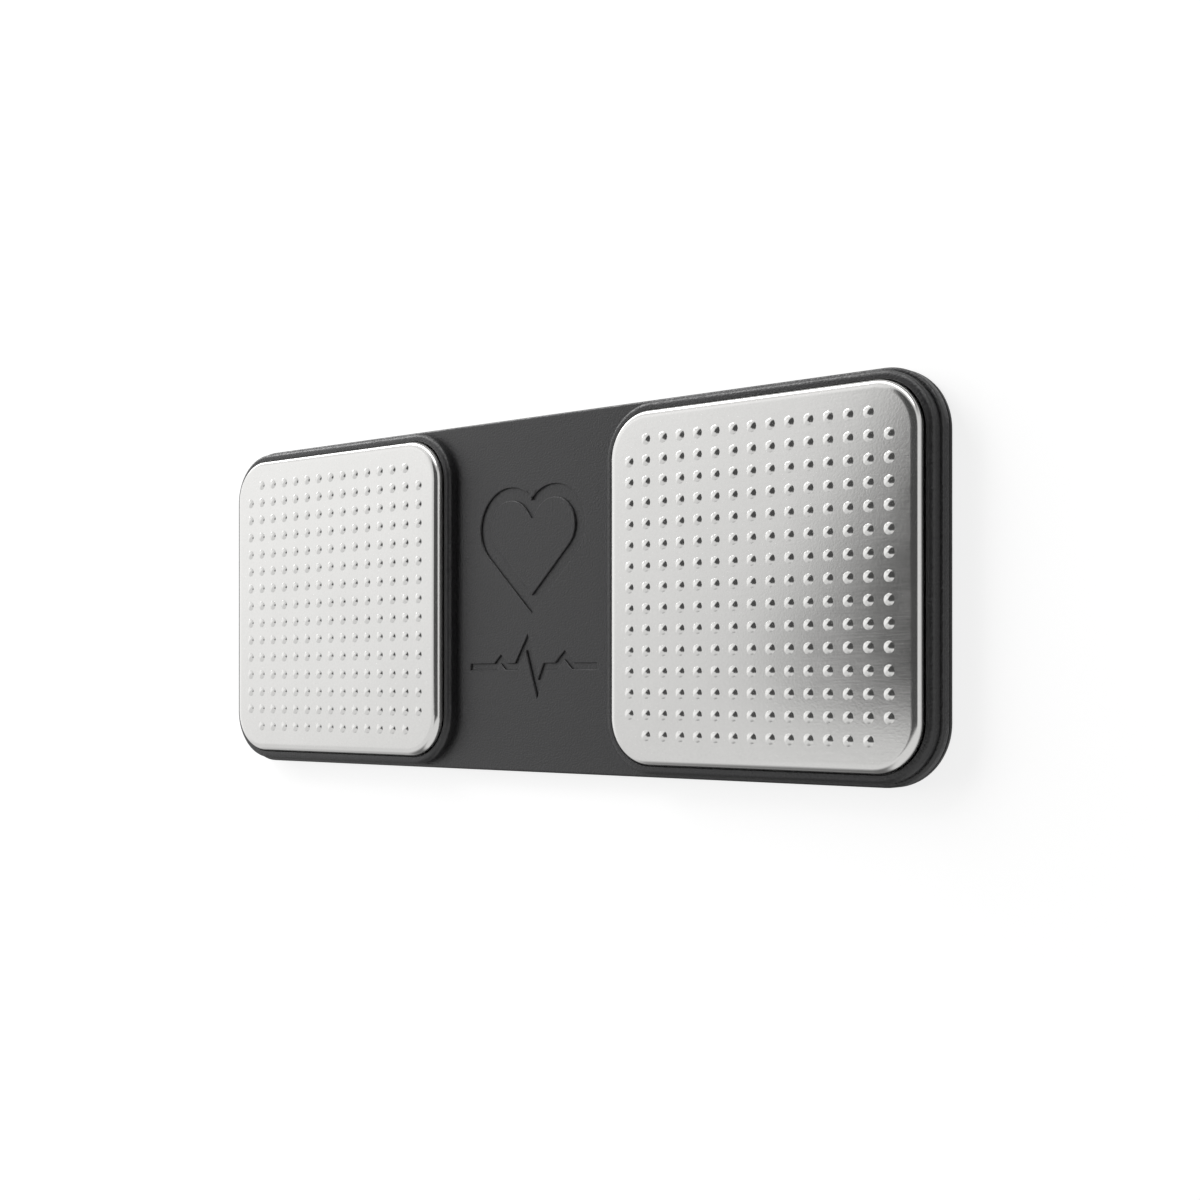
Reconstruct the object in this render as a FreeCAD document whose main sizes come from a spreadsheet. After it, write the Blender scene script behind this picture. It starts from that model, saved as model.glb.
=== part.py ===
import FreeCAD, Part
import math
import os

import Sketcher

# Single-lead finger ECG recorder: a thin charcoal case that lies on its back, with two raised
# square plateaus.  Each plateau carries a dimpled steel electrode pan.  The board, the ultrasonic
# transmitter and a coin cell under a round door are inside, between the two shells.
#
# Frame: X along the case, Y across it, Z up.  The origin is the middle of the back face, which
# the case lies on, and the electrodes are on top.  A "level" is a height above the back face.

# Driving dimensions, in mm.  Each is one cell of the sheet, with this name as its alias.
SIZES = {
    # case
    "body_length": 82.0,
    "body_width": 32.0,
    "body_corner_radius": 5.0,
    "slab_depth": 1.67,
    "slab_edge_chamfer": 0.18,
    "back_edge_chamfer": 0.25,
    "rear_wall": 0.6,
    "front_wall": 0.5,
    "cavity_wall": 0.6,
    "bond_depth": 0.1,
    "bond_inset": 0.3,
    "locating_rib_width": 0.6,
    "locating_rib_height": 0.4,
    "locating_rib_gap": 0.1,
    # plateaus that frame the electrodes
    "plateau_ledge": 0.4,
    "plateau_rise": 1.03,
    "plateau_end_ledge": 0.32,
    "plateau_corner_radius": 4.8,
    "plateau_edge_chamfer": 0.2,
    "plateau_lip": 0.55,
    # electrode pans
    "pad_gap": 0.25,
    "pad_proud": 0.8,
    "pad_depth": 1.2,
    "pad_sheet": 0.4,
    "pad_rim_chamfer": 0.38,
    "island_gap": 0.1,
    "groove_floor_gap": 0.05,
    "adhesive_depth": 0.1,
    "adhesive_inset": 0.3,
    "dimple_pitch": 1.77,
    "dimple_margin": 2.41,
    "dimple_width": 1.0,
    "dimple_height": 0.2,
    # battery bay, seal and door
    "door_depth": 0.5,
    "door_gap": 0.2,
    "door_bevel": 0.12,
    "seal_depth": 0.1,
    "seal_width": 0.7,
    "seal_gap": 0.1,
    "collar_wall": 0.5,
    "collar_top_gap": 0.1,
    "contact_slot_width": 3.2,
    "contact_slot_gap": 0.05,
    "nail_scoop_radius": 2.4,
    "nail_scoop_depth": 0.35,
    # coin cell
    "cell_width": 20.0,
    "cell_depth": 1.6,
    "cell_bay_gap": 0.3,
    "cell_can_depth": 1.45,
    "cell_can_wall": 0.25,
    "cell_seal_width": 0.5,
    "cell_seal_height": 0.1,
    # circuit board and what it carries
    "board_depth": 0.4,
    "board_edge_gap": 0.2,
    "board_corner_radius": 1.8,
    "board_horn_reach": 6.0,
    "board_collar_gap": 0.4,
    "amplifier_width": 4.0,
    "amplifier_height": 0.9,
    "amplifier_inset": 5.7,
    "controller_width": 5.0,
    "controller_height": 0.8,
    "controller_inset": 6.2,
    "crystal_length": 3.2,
    "crystal_width": 1.5,
    "crystal_height": 0.7,
    "crystal_inset": 4.7,
    "chip_length": 1.0,
    "chip_width": 0.5,
    "chip_spacing": 1.8,
    "capacitor_height": 0.5,
    "capacitor_inset": 5.2,
    "resistor_height": 0.35,
    "resistor_inset": 3.1,
    # ultrasonic transmitter
    "piezo_width": 14.0,
    "piezo_depth": 0.2,
    "ceramic_width": 10.0,
    "ceramic_depth": 0.2,
    "inner_spring_offset": 3.0,
    "outer_spring_offset": 6.0,
    # contacts, all of one spring strip
    "strip_thickness": 0.15,
    "spring_width": 1.2,
    "spring_length": 1.4,
    "spring_window_gap": 0.3,
    "spring_inset": 2.5,
    "contact_width": 2.4,
    "contact_foot": 1.4,
    "contact_reach": 4.5,
    "contact_cell_gap": 0.05,
}
DIMPLE_SIDES = 5
CAPACITORS = 8
RESISTORS = 10
CONTACT_ANGLE = 30.0
SHEET_NAME = "sizes"
TOLERANCE = 1e-4


class Size:
    """A length in mm together with the sheet formula that it is bound by."""

    def __init__(self, value, formula):
        self.value = value
        self.formula = formula

    def _joined(self, other, sign, value):
        formula = other.formula if isinstance(other, Size) else repr(float(other))
        return Size(value, f"({self.formula} {sign} {formula})")

    def __add__(self, other):
        return self._joined(other, "+", self.value + amount(other))

    def __sub__(self, other):
        return self._joined(other, "-", self.value - amount(other))

    def __mul__(self, other):
        return self._joined(other, "*", self.value * amount(other))

    def __truediv__(self, other):
        return self._joined(other, "/", self.value / amount(other))

    def __neg__(self):
        return Size(-self.value, f"(0 - {self.formula})")


def amount(size):
    """The number that a Size or a plain number stands for."""
    return size.value if isinstance(size, Size) else size


def named(alias):
    """The driving dimension of that name."""
    return Size(SIZES[alias], f"{SHEET_NAME}.{alias}")


ZERO = Size(0.0, "0")

# Plateaus: squares that leave the same ledge at both long sides of the case
PLATEAU_WIDTH = named("body_width") - named("plateau_ledge") * 2
PAD_X = named("body_length") / 2 - named("plateau_end_ledge") - PLATEAU_WIDTH / 2

# Levels above the back face
PLATE_FRONT = named("rear_wall")
SHELL_REAR = PLATE_FRONT + named("bond_depth")
SLAB_FRONT = named("slab_depth")
PLATEAU_FRONT = SLAB_FRONT + named("plateau_rise")
PAD_FACE = PLATEAU_FRONT + named("pad_proud")
PAD_INNER_FACE = PAD_FACE - named("pad_sheet")
PAD_SKIRT_END = PAD_FACE - named("pad_depth")
GROOVE_FLOOR = PAD_SKIRT_END - named("groove_floor_gap")
ISLAND_FRONT = PAD_INNER_FACE - named("adhesive_depth")
PAD_CEILING = ISLAND_FRONT - named("front_wall")
MIDDLE_CEILING = SLAB_FRONT - named("front_wall")
BOARD_FRONT = PLATE_FRONT + named("board_depth")
COLLAR_FRONT = PAD_CEILING - named("collar_top_gap")
DOOR_INNER_FACE = named("door_depth")
CELL_FRONT = DOOR_INNER_FACE + named("cell_depth")
CAN_FRONT = DOOR_INNER_FACE + named("cell_can_depth")
PIEZO_REAR = PAD_CEILING - named("piezo_depth")
CERAMIC_REAR = PIEZO_REAR - named("ceramic_depth")

# Square outlines round each pad centre: side and corner radius
LIP_WIDTH = PLATEAU_WIDTH - named("plateau_lip") * 2
LIP_CORNER = named("plateau_corner_radius") - named("plateau_lip")
PAD_WIDTH = LIP_WIDTH - named("pad_gap") * 2
PAD_CORNER = LIP_CORNER - named("pad_gap")
PAN_INNER_WIDTH = PAD_WIDTH - named("pad_sheet") * 2
PAN_INNER_CORNER = PAD_CORNER - named("pad_sheet")
ISLAND_WIDTH = PAN_INNER_WIDTH - named("island_gap") * 2
ISLAND_CORNER = PAN_INNER_CORNER - named("island_gap")
CAVITY_WIDTH = ISLAND_WIDTH - named("cavity_wall") * 2
CAVITY_CORNER = ISLAND_CORNER - named("cavity_wall")
CAVITY_LENGTH = CAVITY_WIDTH + PAD_X * 2
WINDOW_WIDTH = named("spring_length") + named("spring_window_gap") * 2
SPRING_OFFSET = CAVITY_WIDTH / 2 - named("spring_inset")

# The dimples fill the pan up to their margin
DIMPLE_SPAN = PAD_WIDTH - named("dimple_margin") * 2
DIMPLES_PER_SIDE = 1 + round(DIMPLE_SPAN.value / SIZES["dimple_pitch"])

# Round outlines about the centre of the battery bay
CELL_RADIUS = named("cell_width") / 2
BAY_RADIUS = CELL_RADIUS + named("cell_bay_gap")
SEAL_INNER_RADIUS = BAY_RADIUS + named("seal_gap")
DOOR_RADIUS = SEAL_INNER_RADIUS + named("seal_width")
OPENING_RADIUS = DOOR_RADIUS + named("door_gap")
COLLAR_RADIUS = OPENING_RADIUS + named("collar_wall")
BOARD_NOTCH_RADIUS = COLLAR_RADIUS + named("board_collar_gap")


def make_sheet(document):
    """Write every driving dimension into a cell of its own, under its alias."""
    sheet = document.addObject("Spreadsheet::Sheet", SHEET_NAME)
    for row, (alias, value) in enumerate(SIZES.items(), start=1):
        sheet.set(f"A{row}", alias)
        sheet.set(f"B{row}", str(value))
        sheet.setAlias(f"B{row}", alias)
    document.recompute()


def bind(owner, name, size):
    """Bind one property or constraint to its formula."""
    owner.setExpression(name, size.formula)


def place(piece, x, y, z=ZERO):
    """Put a piece's own origin at that place."""
    bind(piece, "Placement.Base.x", x)
    bind(piece, "Placement.Base.y", y)
    bind(piece, "Placement.Base.z", z)


def new_body(document, label, x=ZERO, y=ZERO, turn=0.0):
    """Start a body on the back face, turned about the upright axis by that many degrees."""
    body = document.addObject("PartDesign::Body", label)
    body.Label = label
    body.Placement.Rotation = FreeCAD.Rotation(FreeCAD.Vector(0, 0, 1), turn)
    place(body, x, y)
    return body


def origin_plane(body, role):
    """One of the three planes of the body's own origin."""
    return next(item for item in body.Origin.OriginFeatures if item.Role == role)


def face_sketch(body, name, level):
    """A sketch parallel to the back face, at that level."""
    sketch = body.newObject("Sketcher::SketchObject", name)
    sketch.AttachmentSupport = [(origin_plane(body, "XY_Plane"), "")]
    sketch.MapMode = "FlatFace"
    bind(sketch, "AttachmentOffset.Base.z", level)
    return sketch


def section_sketch(body, name):
    """A sketch across the thickness: its x runs along the piece, its y is the level."""
    sketch = body.newObject("Sketcher::SketchObject", name)
    sketch.AttachmentSupport = [(origin_plane(body, "XZ_Plane"), "")]
    sketch.MapMode = "FlatFace"
    return sketch


def fix(sketch, kind, *where, size):
    """Add one dimension to a sketch and bind it."""
    index = sketch.addConstraint(Sketcher.Constraint(kind, *where, size.value))
    bind(sketch, f"Constraints[{index}]", size)


def rounded_square(sketch, width, height, corner, x=ZERO):
    """Draw a rectangle with round corners, centred on that x of the sketch's x axis."""
    right, left = x + width / 2, x - width / 2
    top, bottom = height / 2, -height / 2
    radius = corner.value
    sides = (
        ((left.value + radius, bottom.value), (right.value - radius, bottom.value)),
        ((right.value, bottom.value + radius), (right.value, top.value - radius)),
        ((right.value - radius, top.value), (left.value + radius, top.value)),
        ((left.value, top.value - radius), (left.value, bottom.value + radius)),
    )
    lines = []
    for start, end in sides:
        segment = Part.LineSegment(FreeCAD.Vector(*start), FreeCAD.Vector(*end))
        lines.append(sketch.addGeometry(segment, False))
    centres = (
        (right.value - radius, bottom.value + radius),
        (right.value - radius, top.value - radius),
        (left.value + radius, top.value - radius),
        (left.value + radius, bottom.value + radius),
    )
    arcs = []
    for quarter, centre in enumerate(centres):
        circle = Part.Circle(FreeCAD.Vector(*centre), FreeCAD.Vector(0, 0, 1), radius)
        start = (quarter - 1) * math.pi / 2
        arcs.append(sketch.addGeometry(Part.ArcOfCircle(circle, start, start + math.pi / 2), False))
    for line, arc, following in zip(lines, arcs, lines[1:] + lines[:1]):
        sketch.addConstraint(Sketcher.Constraint("Tangent", line, 2, arc, 1))
        sketch.addConstraint(Sketcher.Constraint("Tangent", arc, 2, following, 1))
    sketch.addConstraint(Sketcher.Constraint("Horizontal", lines[0]))
    sketch.addConstraint(Sketcher.Constraint("Vertical", lines[1]))
    sketch.addConstraint(Sketcher.Constraint("Horizontal", lines[2]))
    sketch.addConstraint(Sketcher.Constraint("Vertical", lines[3]))
    for arc in arcs[1:]:
        sketch.addConstraint(Sketcher.Constraint("Equal", arcs[0], arc))
    fix(sketch, "Radius", arcs[0], size=corner)
    fix(sketch, "DistanceY", -1, 1, lines[0], 1, size=bottom)
    fix(sketch, "DistanceX", -1, 1, lines[1], 1, size=right)
    fix(sketch, "DistanceY", -1, 1, lines[2], 1, size=top)
    fix(sketch, "DistanceX", -1, 1, lines[3], 1, size=left)


def circle(sketch, radius, x=ZERO):
    """Draw a circle centred on that x of the sketch's x axis."""
    round_line = Part.Circle(FreeCAD.Vector(x.value, 0, 0), FreeCAD.Vector(0, 0, 1), radius.value)
    index = sketch.addGeometry(round_line, False)
    fix(sketch, "Radius", index, size=radius)
    fix(sketch, "DistanceX", -1, 1, index, 3, size=x)
    fix(sketch, "DistanceY", -1, 1, index, 3, size=ZERO)


def polygon(sketch, corners):
    """Draw a closed outline through corners that are each bound to their own two sizes."""
    points = [FreeCAD.Vector(across.value, along.value) for across, along in corners]
    lines = []
    for start, end in zip(points, points[1:] + points[:1]):
        lines.append(sketch.addGeometry(Part.LineSegment(start, end), False))
    for line, following in zip(lines, lines[1:] + lines[:1]):
        sketch.addConstraint(Sketcher.Constraint("Coincident", line, 2, following, 1))
    for line, (across, along) in zip(lines, corners):
        fix(sketch, "DistanceX", -1, 1, line, 1, size=across)
        fix(sketch, "DistanceY", -1, 1, line, 1, size=along)


def add(body, sketch, name, length):
    """Pad a sketch towards the front by that length."""
    feature = body.newObject("PartDesign::Pad", name)
    feature.Profile = sketch
    bind(feature, "Length", length)
    return feature


def add_strip(body, sketch, name, width):
    """Pad a section by that width, half to each side."""
    feature = add(body, sketch, name, width)
    feature.Midplane = True
    return feature


def cut(body, sketch, name, length):
    """Cut a sketch's outline out of the body, from the sketch back by that length."""
    body.Document.recompute()
    before = body.Shape.Volume
    feature = body.newObject("PartDesign::Pocket", name)
    feature.Profile = sketch
    bind(feature, "Length", length)
    body.Document.recompute()
    if body.Shape.Volume > before - TOLERANCE:
        raise RuntimeError(f"{body.Label}: {name} cuts nothing")
    return feature


def level_edges(shape, level):
    """Names of the edges that lie wholly at one level."""
    names = []
    for index, edge in enumerate(shape.Edges, start=1):
        box = edge.BoundBox
        if abs(box.ZMin - level.value) < TOLERANCE and abs(box.ZMax - level.value) < TOLERANCE:
            names.append(f"Edge{index}")
    return names


def soften(body, name, level, size):
    """Chamfer every edge at one level of the body."""
    body.Document.recompute()
    base = body.Tip
    feature = body.newObject("PartDesign::Chamfer", name)
    feature.Base = (base, level_edges(base.Shape, level))
    bind(feature, "Size", size)
    return feature


def square_plate(body, name, width, height, corner, rear, front):
    """Pad a round-cornered plate between two levels."""
    sketch = face_sketch(body, f"{name}_outline", rear)
    rounded_square(sketch, width, height, corner)
    return add(body, sketch, name, front - rear)


def disc(body, name, radius, rear, front):
    """Pad a disc between two levels."""
    sketch = face_sketch(body, f"{name}_outline", rear)
    circle(sketch, radius)
    return add(body, sketch, name, front - rear)


def ring(body, name, outer, inner, rear, front, x=ZERO):
    """Pad a ring between two levels."""
    sketch = face_sketch(body, f"{name}_outline", rear)
    circle(sketch, outer, x)
    circle(sketch, inner, x)
    return add(body, sketch, name, front - rear)


def spring_window(sketch, x, side):
    """Draw the square window of a contact spring, by the inner upper corner of a pad at that x."""
    centre_x = x - SPRING_OFFSET * side
    left, right = centre_x - WINDOW_WIDTH / 2, centre_x + WINDOW_WIDTH / 2
    bottom, top = SPRING_OFFSET - WINDOW_WIDTH / 2, SPRING_OFFSET + WINDOW_WIDTH / 2
    polygon(sketch, ((left, bottom), (right, bottom), (right, top), (left, top)))


def front_housing(document):
    """Front shell: slab, two plateaus with a groove and an island each, hollow from the rear."""
    body = new_body(document, "front_housing")
    square_plate(body, "slab", named("body_length"), named("body_width"),
                 named("body_corner_radius"), SHELL_REAR, SLAB_FRONT)
    soften(body, "slab_edge", SLAB_FRONT, named("slab_edge_chamfer"))

    plateaus = face_sketch(body, "plateaus_outline", SLAB_FRONT)
    seats = face_sketch(body, "seats_outline", PLATEAU_FRONT)
    islands = face_sketch(body, "islands_outline", GROOVE_FLOOR)
    pad_cavities = face_sketch(body, "pad_cavities_outline", PAD_CEILING)
    windows = face_sketch(body, "windows_outline", ISLAND_FRONT)
    for side, x in ((-1, -PAD_X), (1, PAD_X)):
        rounded_square(plateaus, PLATEAU_WIDTH, PLATEAU_WIDTH, named("plateau_corner_radius"), x)
        rounded_square(seats, LIP_WIDTH, LIP_WIDTH, LIP_CORNER, x)
        rounded_square(islands, ISLAND_WIDTH, ISLAND_WIDTH, ISLAND_CORNER, x)
        rounded_square(pad_cavities, CAVITY_WIDTH, CAVITY_WIDTH, CAVITY_CORNER, x)
        spring_window(windows, x, side)
    add(body, plateaus, "plateaus", PLATEAU_FRONT - SLAB_FRONT)
    soften(body, "plateau_edge", PLATEAU_FRONT, named("plateau_edge_chamfer"))
    cut(body, seats, "seats", PLATEAU_FRONT - GROOVE_FLOOR)
    add(body, islands, "islands", ISLAND_FRONT - GROOVE_FLOOR)
    cut(body, pad_cavities, "pad_cavities", PAD_CEILING - SHELL_REAR)

    channel = face_sketch(body, "channel_outline", MIDDLE_CEILING)
    rounded_square(channel, CAVITY_LENGTH, CAVITY_WIDTH, CAVITY_CORNER)
    cut(body, channel, "channel", MIDDLE_CEILING - SHELL_REAR)
    cut(body, windows, "spring_windows", ISLAND_FRONT - PAD_CEILING)
    return body


def rear_housing(document):
    """Rear shell: plate with a locating rib, the battery collar, its opening and contact slots."""
    body = new_body(document, "rear_housing")
    square_plate(body, "plate", named("body_length"), named("body_width"),
                 named("body_corner_radius"), ZERO, PLATE_FRONT)
    soften(body, "back_edge", ZERO, named("back_edge_chamfer"))

    rib = face_sketch(body, "rib_outline", PLATE_FRONT)
    gap = named("locating_rib_gap")
    inset = gap + named("locating_rib_width")
    for distance in (gap, inset):
        rounded_square(rib, CAVITY_LENGTH - distance * 2, CAVITY_WIDTH - distance * 2,
                       CAVITY_CORNER - distance)
    add(body, rib, "locating_rib", named("locating_rib_height"))

    ring(body, "collar", COLLAR_RADIUS, BAY_RADIUS, PLATE_FRONT, COLLAR_FRONT, -PAD_X)
    opening = face_sketch(body, "opening_outline", PLATE_FRONT)
    circle(opening, OPENING_RADIUS, -PAD_X)
    cut(body, opening, "door_opening", PLATE_FRONT)

    scoop = face_sketch(body, "nail_scoop_outline", named("nail_scoop_depth"))
    circle(scoop, named("nail_scoop_radius"), OPENING_RADIUS - PAD_X)
    cut(body, scoop, "nail_scoop", named("nail_scoop_depth"))

    slots = face_sketch(body, "contact_slots_outline", COLLAR_FRONT)
    slot_floor = BOARD_FRONT - named("contact_slot_gap")
    half = named("contact_slot_width") / 2
    for angle in (-CONTACT_ANGLE, CONTACT_ANGLE):
        right, up = math.cos(math.radians(angle)), math.sin(math.radians(angle))
        outline = []
        for along, across in ((CELL_RADIUS, -half), (BOARD_NOTCH_RADIUS, -half),
                              (BOARD_NOTCH_RADIUS, half), (CELL_RADIUS, half)):
            outline.append((along * right - across * up - PAD_X, along * up + across * right))
        polygon(slots, outline)
    cut(body, slots, "contact_slots", COLLAR_FRONT - slot_floor)
    return body


def bond_gasket(document):
    """Thin bond line between the shells, set in from both edges of the rim."""
    body = new_body(document, "bond_gasket")
    inset = named("bond_inset")
    sketch = face_sketch(body, "bond_outline", PLATE_FRONT)
    rounded_square(sketch, named("body_length") - inset * 2, named("body_width") - inset * 2,
                   named("body_corner_radius") - inset)
    rounded_square(sketch, CAVITY_LENGTH + inset * 2, CAVITY_WIDTH + inset * 2,
                   CAVITY_CORNER + inset)
    add(body, sketch, "bond", named("bond_depth"))
    return body


def electrode_pan(document):
    """Pressed steel pan without its dimples: a flat face, a round rim and a short skirt."""
    body = new_body(document, "electrode_pan", -PAD_X)
    square_plate(body, "pan", PAD_WIDTH, PAD_WIDTH, PAD_CORNER, PAD_SKIRT_END, PAD_FACE)
    soften(body, "rim", PAD_FACE, named("pad_rim_chamfer"))
    hollow = face_sketch(body, "hollow_outline", PAD_INNER_FACE)
    rounded_square(hollow, PAN_INNER_WIDTH, PAN_INNER_WIDTH, PAN_INNER_CORNER)
    cut(body, hollow, "hollow", PAD_INNER_FACE - PAD_SKIRT_END)
    return body


def dimple(x, y):
    """One raised dimple, a low faceted cone whose foot is sunk into the sheet."""
    radius = named("dimple_width").value / 2
    face = PAD_FACE.value
    sunk = face - named("pad_sheet").value / 2
    tip = FreeCAD.Vector(x, y, face + named("dimple_height").value)
    rim, foot = [], []
    for step in range(DIMPLE_SIDES):
        angle = math.tau * step / DIMPLE_SIDES
        across, along = x + radius * math.cos(angle), y + radius * math.sin(angle)
        rim.append(FreeCAD.Vector(across, along, face))
        foot.append(FreeCAD.Vector(across, along, sunk))
    faces = [Part.Face(Part.makePolygon(foot[::-1] + foot[-1:]))]
    for step in range(DIMPLE_SIDES):
        following = (step + 1) % DIMPLE_SIDES
        slope = (rim[step], rim[following], tip, rim[step])
        wall = (foot[step], foot[following], rim[following], rim[step], foot[step])
        faces.append(Part.Face(Part.makePolygon(slope)))
        faces.append(Part.Face(Part.makePolygon(wall)))
    return Part.makeSolid(Part.makeShell(faces))


def dimple_field(document):
    """The square grid of dimples, with its four corner places left flat."""
    field = document.addObject("Part::Feature", "dimple_field")
    pitch = named("dimple_pitch").value
    last = DIMPLES_PER_SIDE - 1
    solids = []
    for column in range(DIMPLES_PER_SIDE):
        for row in range(DIMPLES_PER_SIDE):
            if column in (0, last) and row in (0, last):
                continue
            solids.append(dimple((column - last / 2) * pitch, (row - last / 2) * pitch))
    field.Shape = Part.makeCompound(solids)
    place(field, -PAD_X, ZERO)
    return field


def electrodes(document):
    """The two sense electrodes: dimpled pans, one the mirror image of the other."""
    left = document.addObject("Part::MultiFuse", "electrode_left")
    left.Shapes = [electrode_pan(document), dimple_field(document)]
    right = document.addObject("Part::Mirroring", "electrode_right")
    right.Source = left
    right.Normal = FreeCAD.Vector(1, 0, 0)
    right.Base = FreeCAD.Vector(0, 0, 0)
    return [left, right]


def electrode_adhesive(document, label, side):
    """Adhesive sheet under one pan, with a window for the contact spring."""
    body = new_body(document, label, PAD_X * side)
    width = ISLAND_WIDTH - named("adhesive_inset") * 2
    sketch = face_sketch(body, "adhesive_outline", ISLAND_FRONT)
    rounded_square(sketch, width, width, ISLAND_CORNER - named("adhesive_inset"))
    spring_window(sketch, ZERO, side)
    add(body, sketch, "adhesive", named("adhesive_depth"))
    return body


def leaf_spring(document, label, x, y, top):
    """C-shaped contact leaf between the board and the level that it presses on."""
    body = new_body(document, label, x, y)
    right = named("spring_length") / 2
    left = -right
    sheet = named("strip_thickness")
    sketch = section_sketch(body, "leaf_section")
    polygon(sketch, (
        (left, BOARD_FRONT), (right, BOARD_FRONT), (right, top), (left, top),
        (left, top - sheet), (right - sheet, top - sheet),
        (right - sheet, BOARD_FRONT + sheet), (left, BOARD_FRONT + sheet)))
    add_strip(body, sketch, "leaf", named("spring_width"))
    return body


def circuit_board(document):
    """Board that fills the right pad and the middle, with two horns beside the battery bay."""
    body = new_body(document, "circuit_board")
    inset = named("locating_rib_gap") + named("locating_rib_width") + named("board_edge_gap")
    right = CAVITY_LENGTH / 2 - inset
    left = named("board_horn_reach") - PAD_X
    sketch = face_sketch(body, "board_outline", PLATE_FRONT)
    rounded_square(sketch, right - left, CAVITY_WIDTH - inset * 2, named("board_corner_radius"),
                   (right + left) / 2)
    add(body, sketch, "board", named("board_depth"))
    notch = face_sketch(body, "bay_notch_outline", BOARD_FRONT)
    circle(notch, BOARD_NOTCH_RADIUS, -PAD_X)
    cut(body, notch, "bay_notch", named("board_depth"))
    return body


def board_block(document, label, x, y, length, width, height):
    """A box-shaped component that stands on the board, centred on that place."""
    block = document.addObject("Part::Box", label)
    block.Label = label
    bind(block, "Length", length)
    bind(block, "Width", width)
    bind(block, "Height", height)
    place(block, x - length / 2, y - width / 2, BOARD_FRONT)
    return block


def chip_row(document, label, count, height, row):
    """A row of equal small chips along one long side of the board, under the right pad."""
    chips = []
    for index in range(count):
        x = PAD_X + named("chip_spacing") * (index - (count - 1) / 2)
        chips.append(board_block(document, f"{label}_{index + 1}", x, -row,
                                 named("chip_length"), named("chip_width"), height))
    group = document.addObject("Part::Compound", label)
    group.Links = chips
    return group


def board_components(document):
    """The amplifier, the controller, its crystal and two rows of small chips."""
    edge = CAVITY_WIDTH / 2
    amplifier = edge - named("amplifier_inset")
    amplifier_side = named("amplifier_width")
    controller = edge - named("controller_inset")
    controller_side = named("controller_width")
    return [
        board_block(document, "amplifier_chip", PAD_X - amplifier, amplifier,
                    amplifier_side, amplifier_side, named("amplifier_height")),
        board_block(document, "microcontroller_chip", PAD_X + controller, controller,
                    controller_side, controller_side, named("controller_height")),
        board_block(document, "timing_crystal", PAD_X + edge - named("crystal_inset"), ZERO,
                    named("crystal_length"), named("crystal_width"), named("crystal_height")),
        chip_row(document, "chip_capacitors", CAPACITORS, named("capacitor_height"),
                 edge - named("capacitor_inset")),
        chip_row(document, "chip_resistors", RESISTORS, named("resistor_height"),
                 edge - named("resistor_inset")),
    ]


def piezo_transmitter(document):
    """Ultrasonic transmitter: a brass disc on the ceiling of the right pad, with its ceramic."""
    brass = new_body(document, "piezo_disc", PAD_X)
    disc(brass, "brass", named("piezo_width") / 2, PIEZO_REAR, PAD_CEILING)
    ceramic = new_body(document, "piezo_ceramic", PAD_X)
    disc(ceramic, "ceramic", named("ceramic_width") / 2, CERAMIC_REAR, PIEZO_REAR)
    inner = leaf_spring(document, "piezo_spring_inner", PAD_X - named("inner_spring_offset"),
                        ZERO, CERAMIC_REAR)
    outer = leaf_spring(document, "piezo_spring_outer", PAD_X - named("outer_spring_offset"),
                        ZERO, PIEZO_REAR)
    return [brass, ceramic, inner, outer]


def negative_contact(document):
    """Strip from the board up to the ceiling, then inwards and down onto the cell's cap."""
    body = new_body(document, "negative_contact", -PAD_X, turn=-CONTACT_ANGLE)
    sheet = named("strip_thickness")
    riser = COLLAR_RADIUS + named("board_collar_gap")
    foot_end = riser + named("contact_foot")
    bend = named("contact_reach")
    tip = -bend
    sketch = section_sketch(body, "contact_section")
    polygon(sketch, (
        (foot_end, BOARD_FRONT), (foot_end, BOARD_FRONT + sheet),
        (riser + sheet, BOARD_FRONT + sheet), (riser + sheet, PAD_CEILING),
        (bend, PAD_CEILING), (ZERO, CELL_FRONT + sheet), (tip, CELL_FRONT + sheet),
        (tip, CELL_FRONT), (ZERO, CELL_FRONT), (bend, PAD_CEILING - sheet),
        (riser, PAD_CEILING - sheet), (riser, BOARD_FRONT)))
    add_strip(body, sketch, "contact", named("contact_width"))
    return body


def positive_contact(document):
    """Strip from the board through the collar, turned up along the wall of the cell."""
    body = new_body(document, "positive_contact", -PAD_X, turn=CONTACT_ANGLE)
    sheet = named("strip_thickness")
    near = CELL_RADIUS + named("contact_cell_gap")
    foot_end = BOARD_NOTCH_RADIUS + named("contact_foot")
    sketch = section_sketch(body, "contact_section")
    polygon(sketch, (
        (foot_end, BOARD_FRONT), (foot_end, BOARD_FRONT + sheet), (near + sheet, BOARD_FRONT + sheet),
        (near + sheet, CAN_FRONT), (near, CAN_FRONT), (near, BOARD_FRONT)))
    add_strip(body, sketch, "contact", named("contact_width"))
    return body


def door_seal(document):
    """Flat seal ring on the shoulder of the collar, under the edge of the door."""
    body = new_body(document, "door_seal", -PAD_X)
    ring(body, "seal", DOOR_RADIUS, SEAL_INNER_RADIUS,
         DOOR_INNER_FACE, DOOR_INNER_FACE + named("seal_depth"))
    return body


def battery_door(document):
    """Round door, flush with the back, with a bevel for the fingernail."""
    body = new_body(document, "battery_door", -PAD_X)
    disc(body, "door", DOOR_RADIUS, ZERO, DOOR_INNER_FACE)
    soften(body, "bevel", ZERO, named("door_bevel"))
    return body


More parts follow.
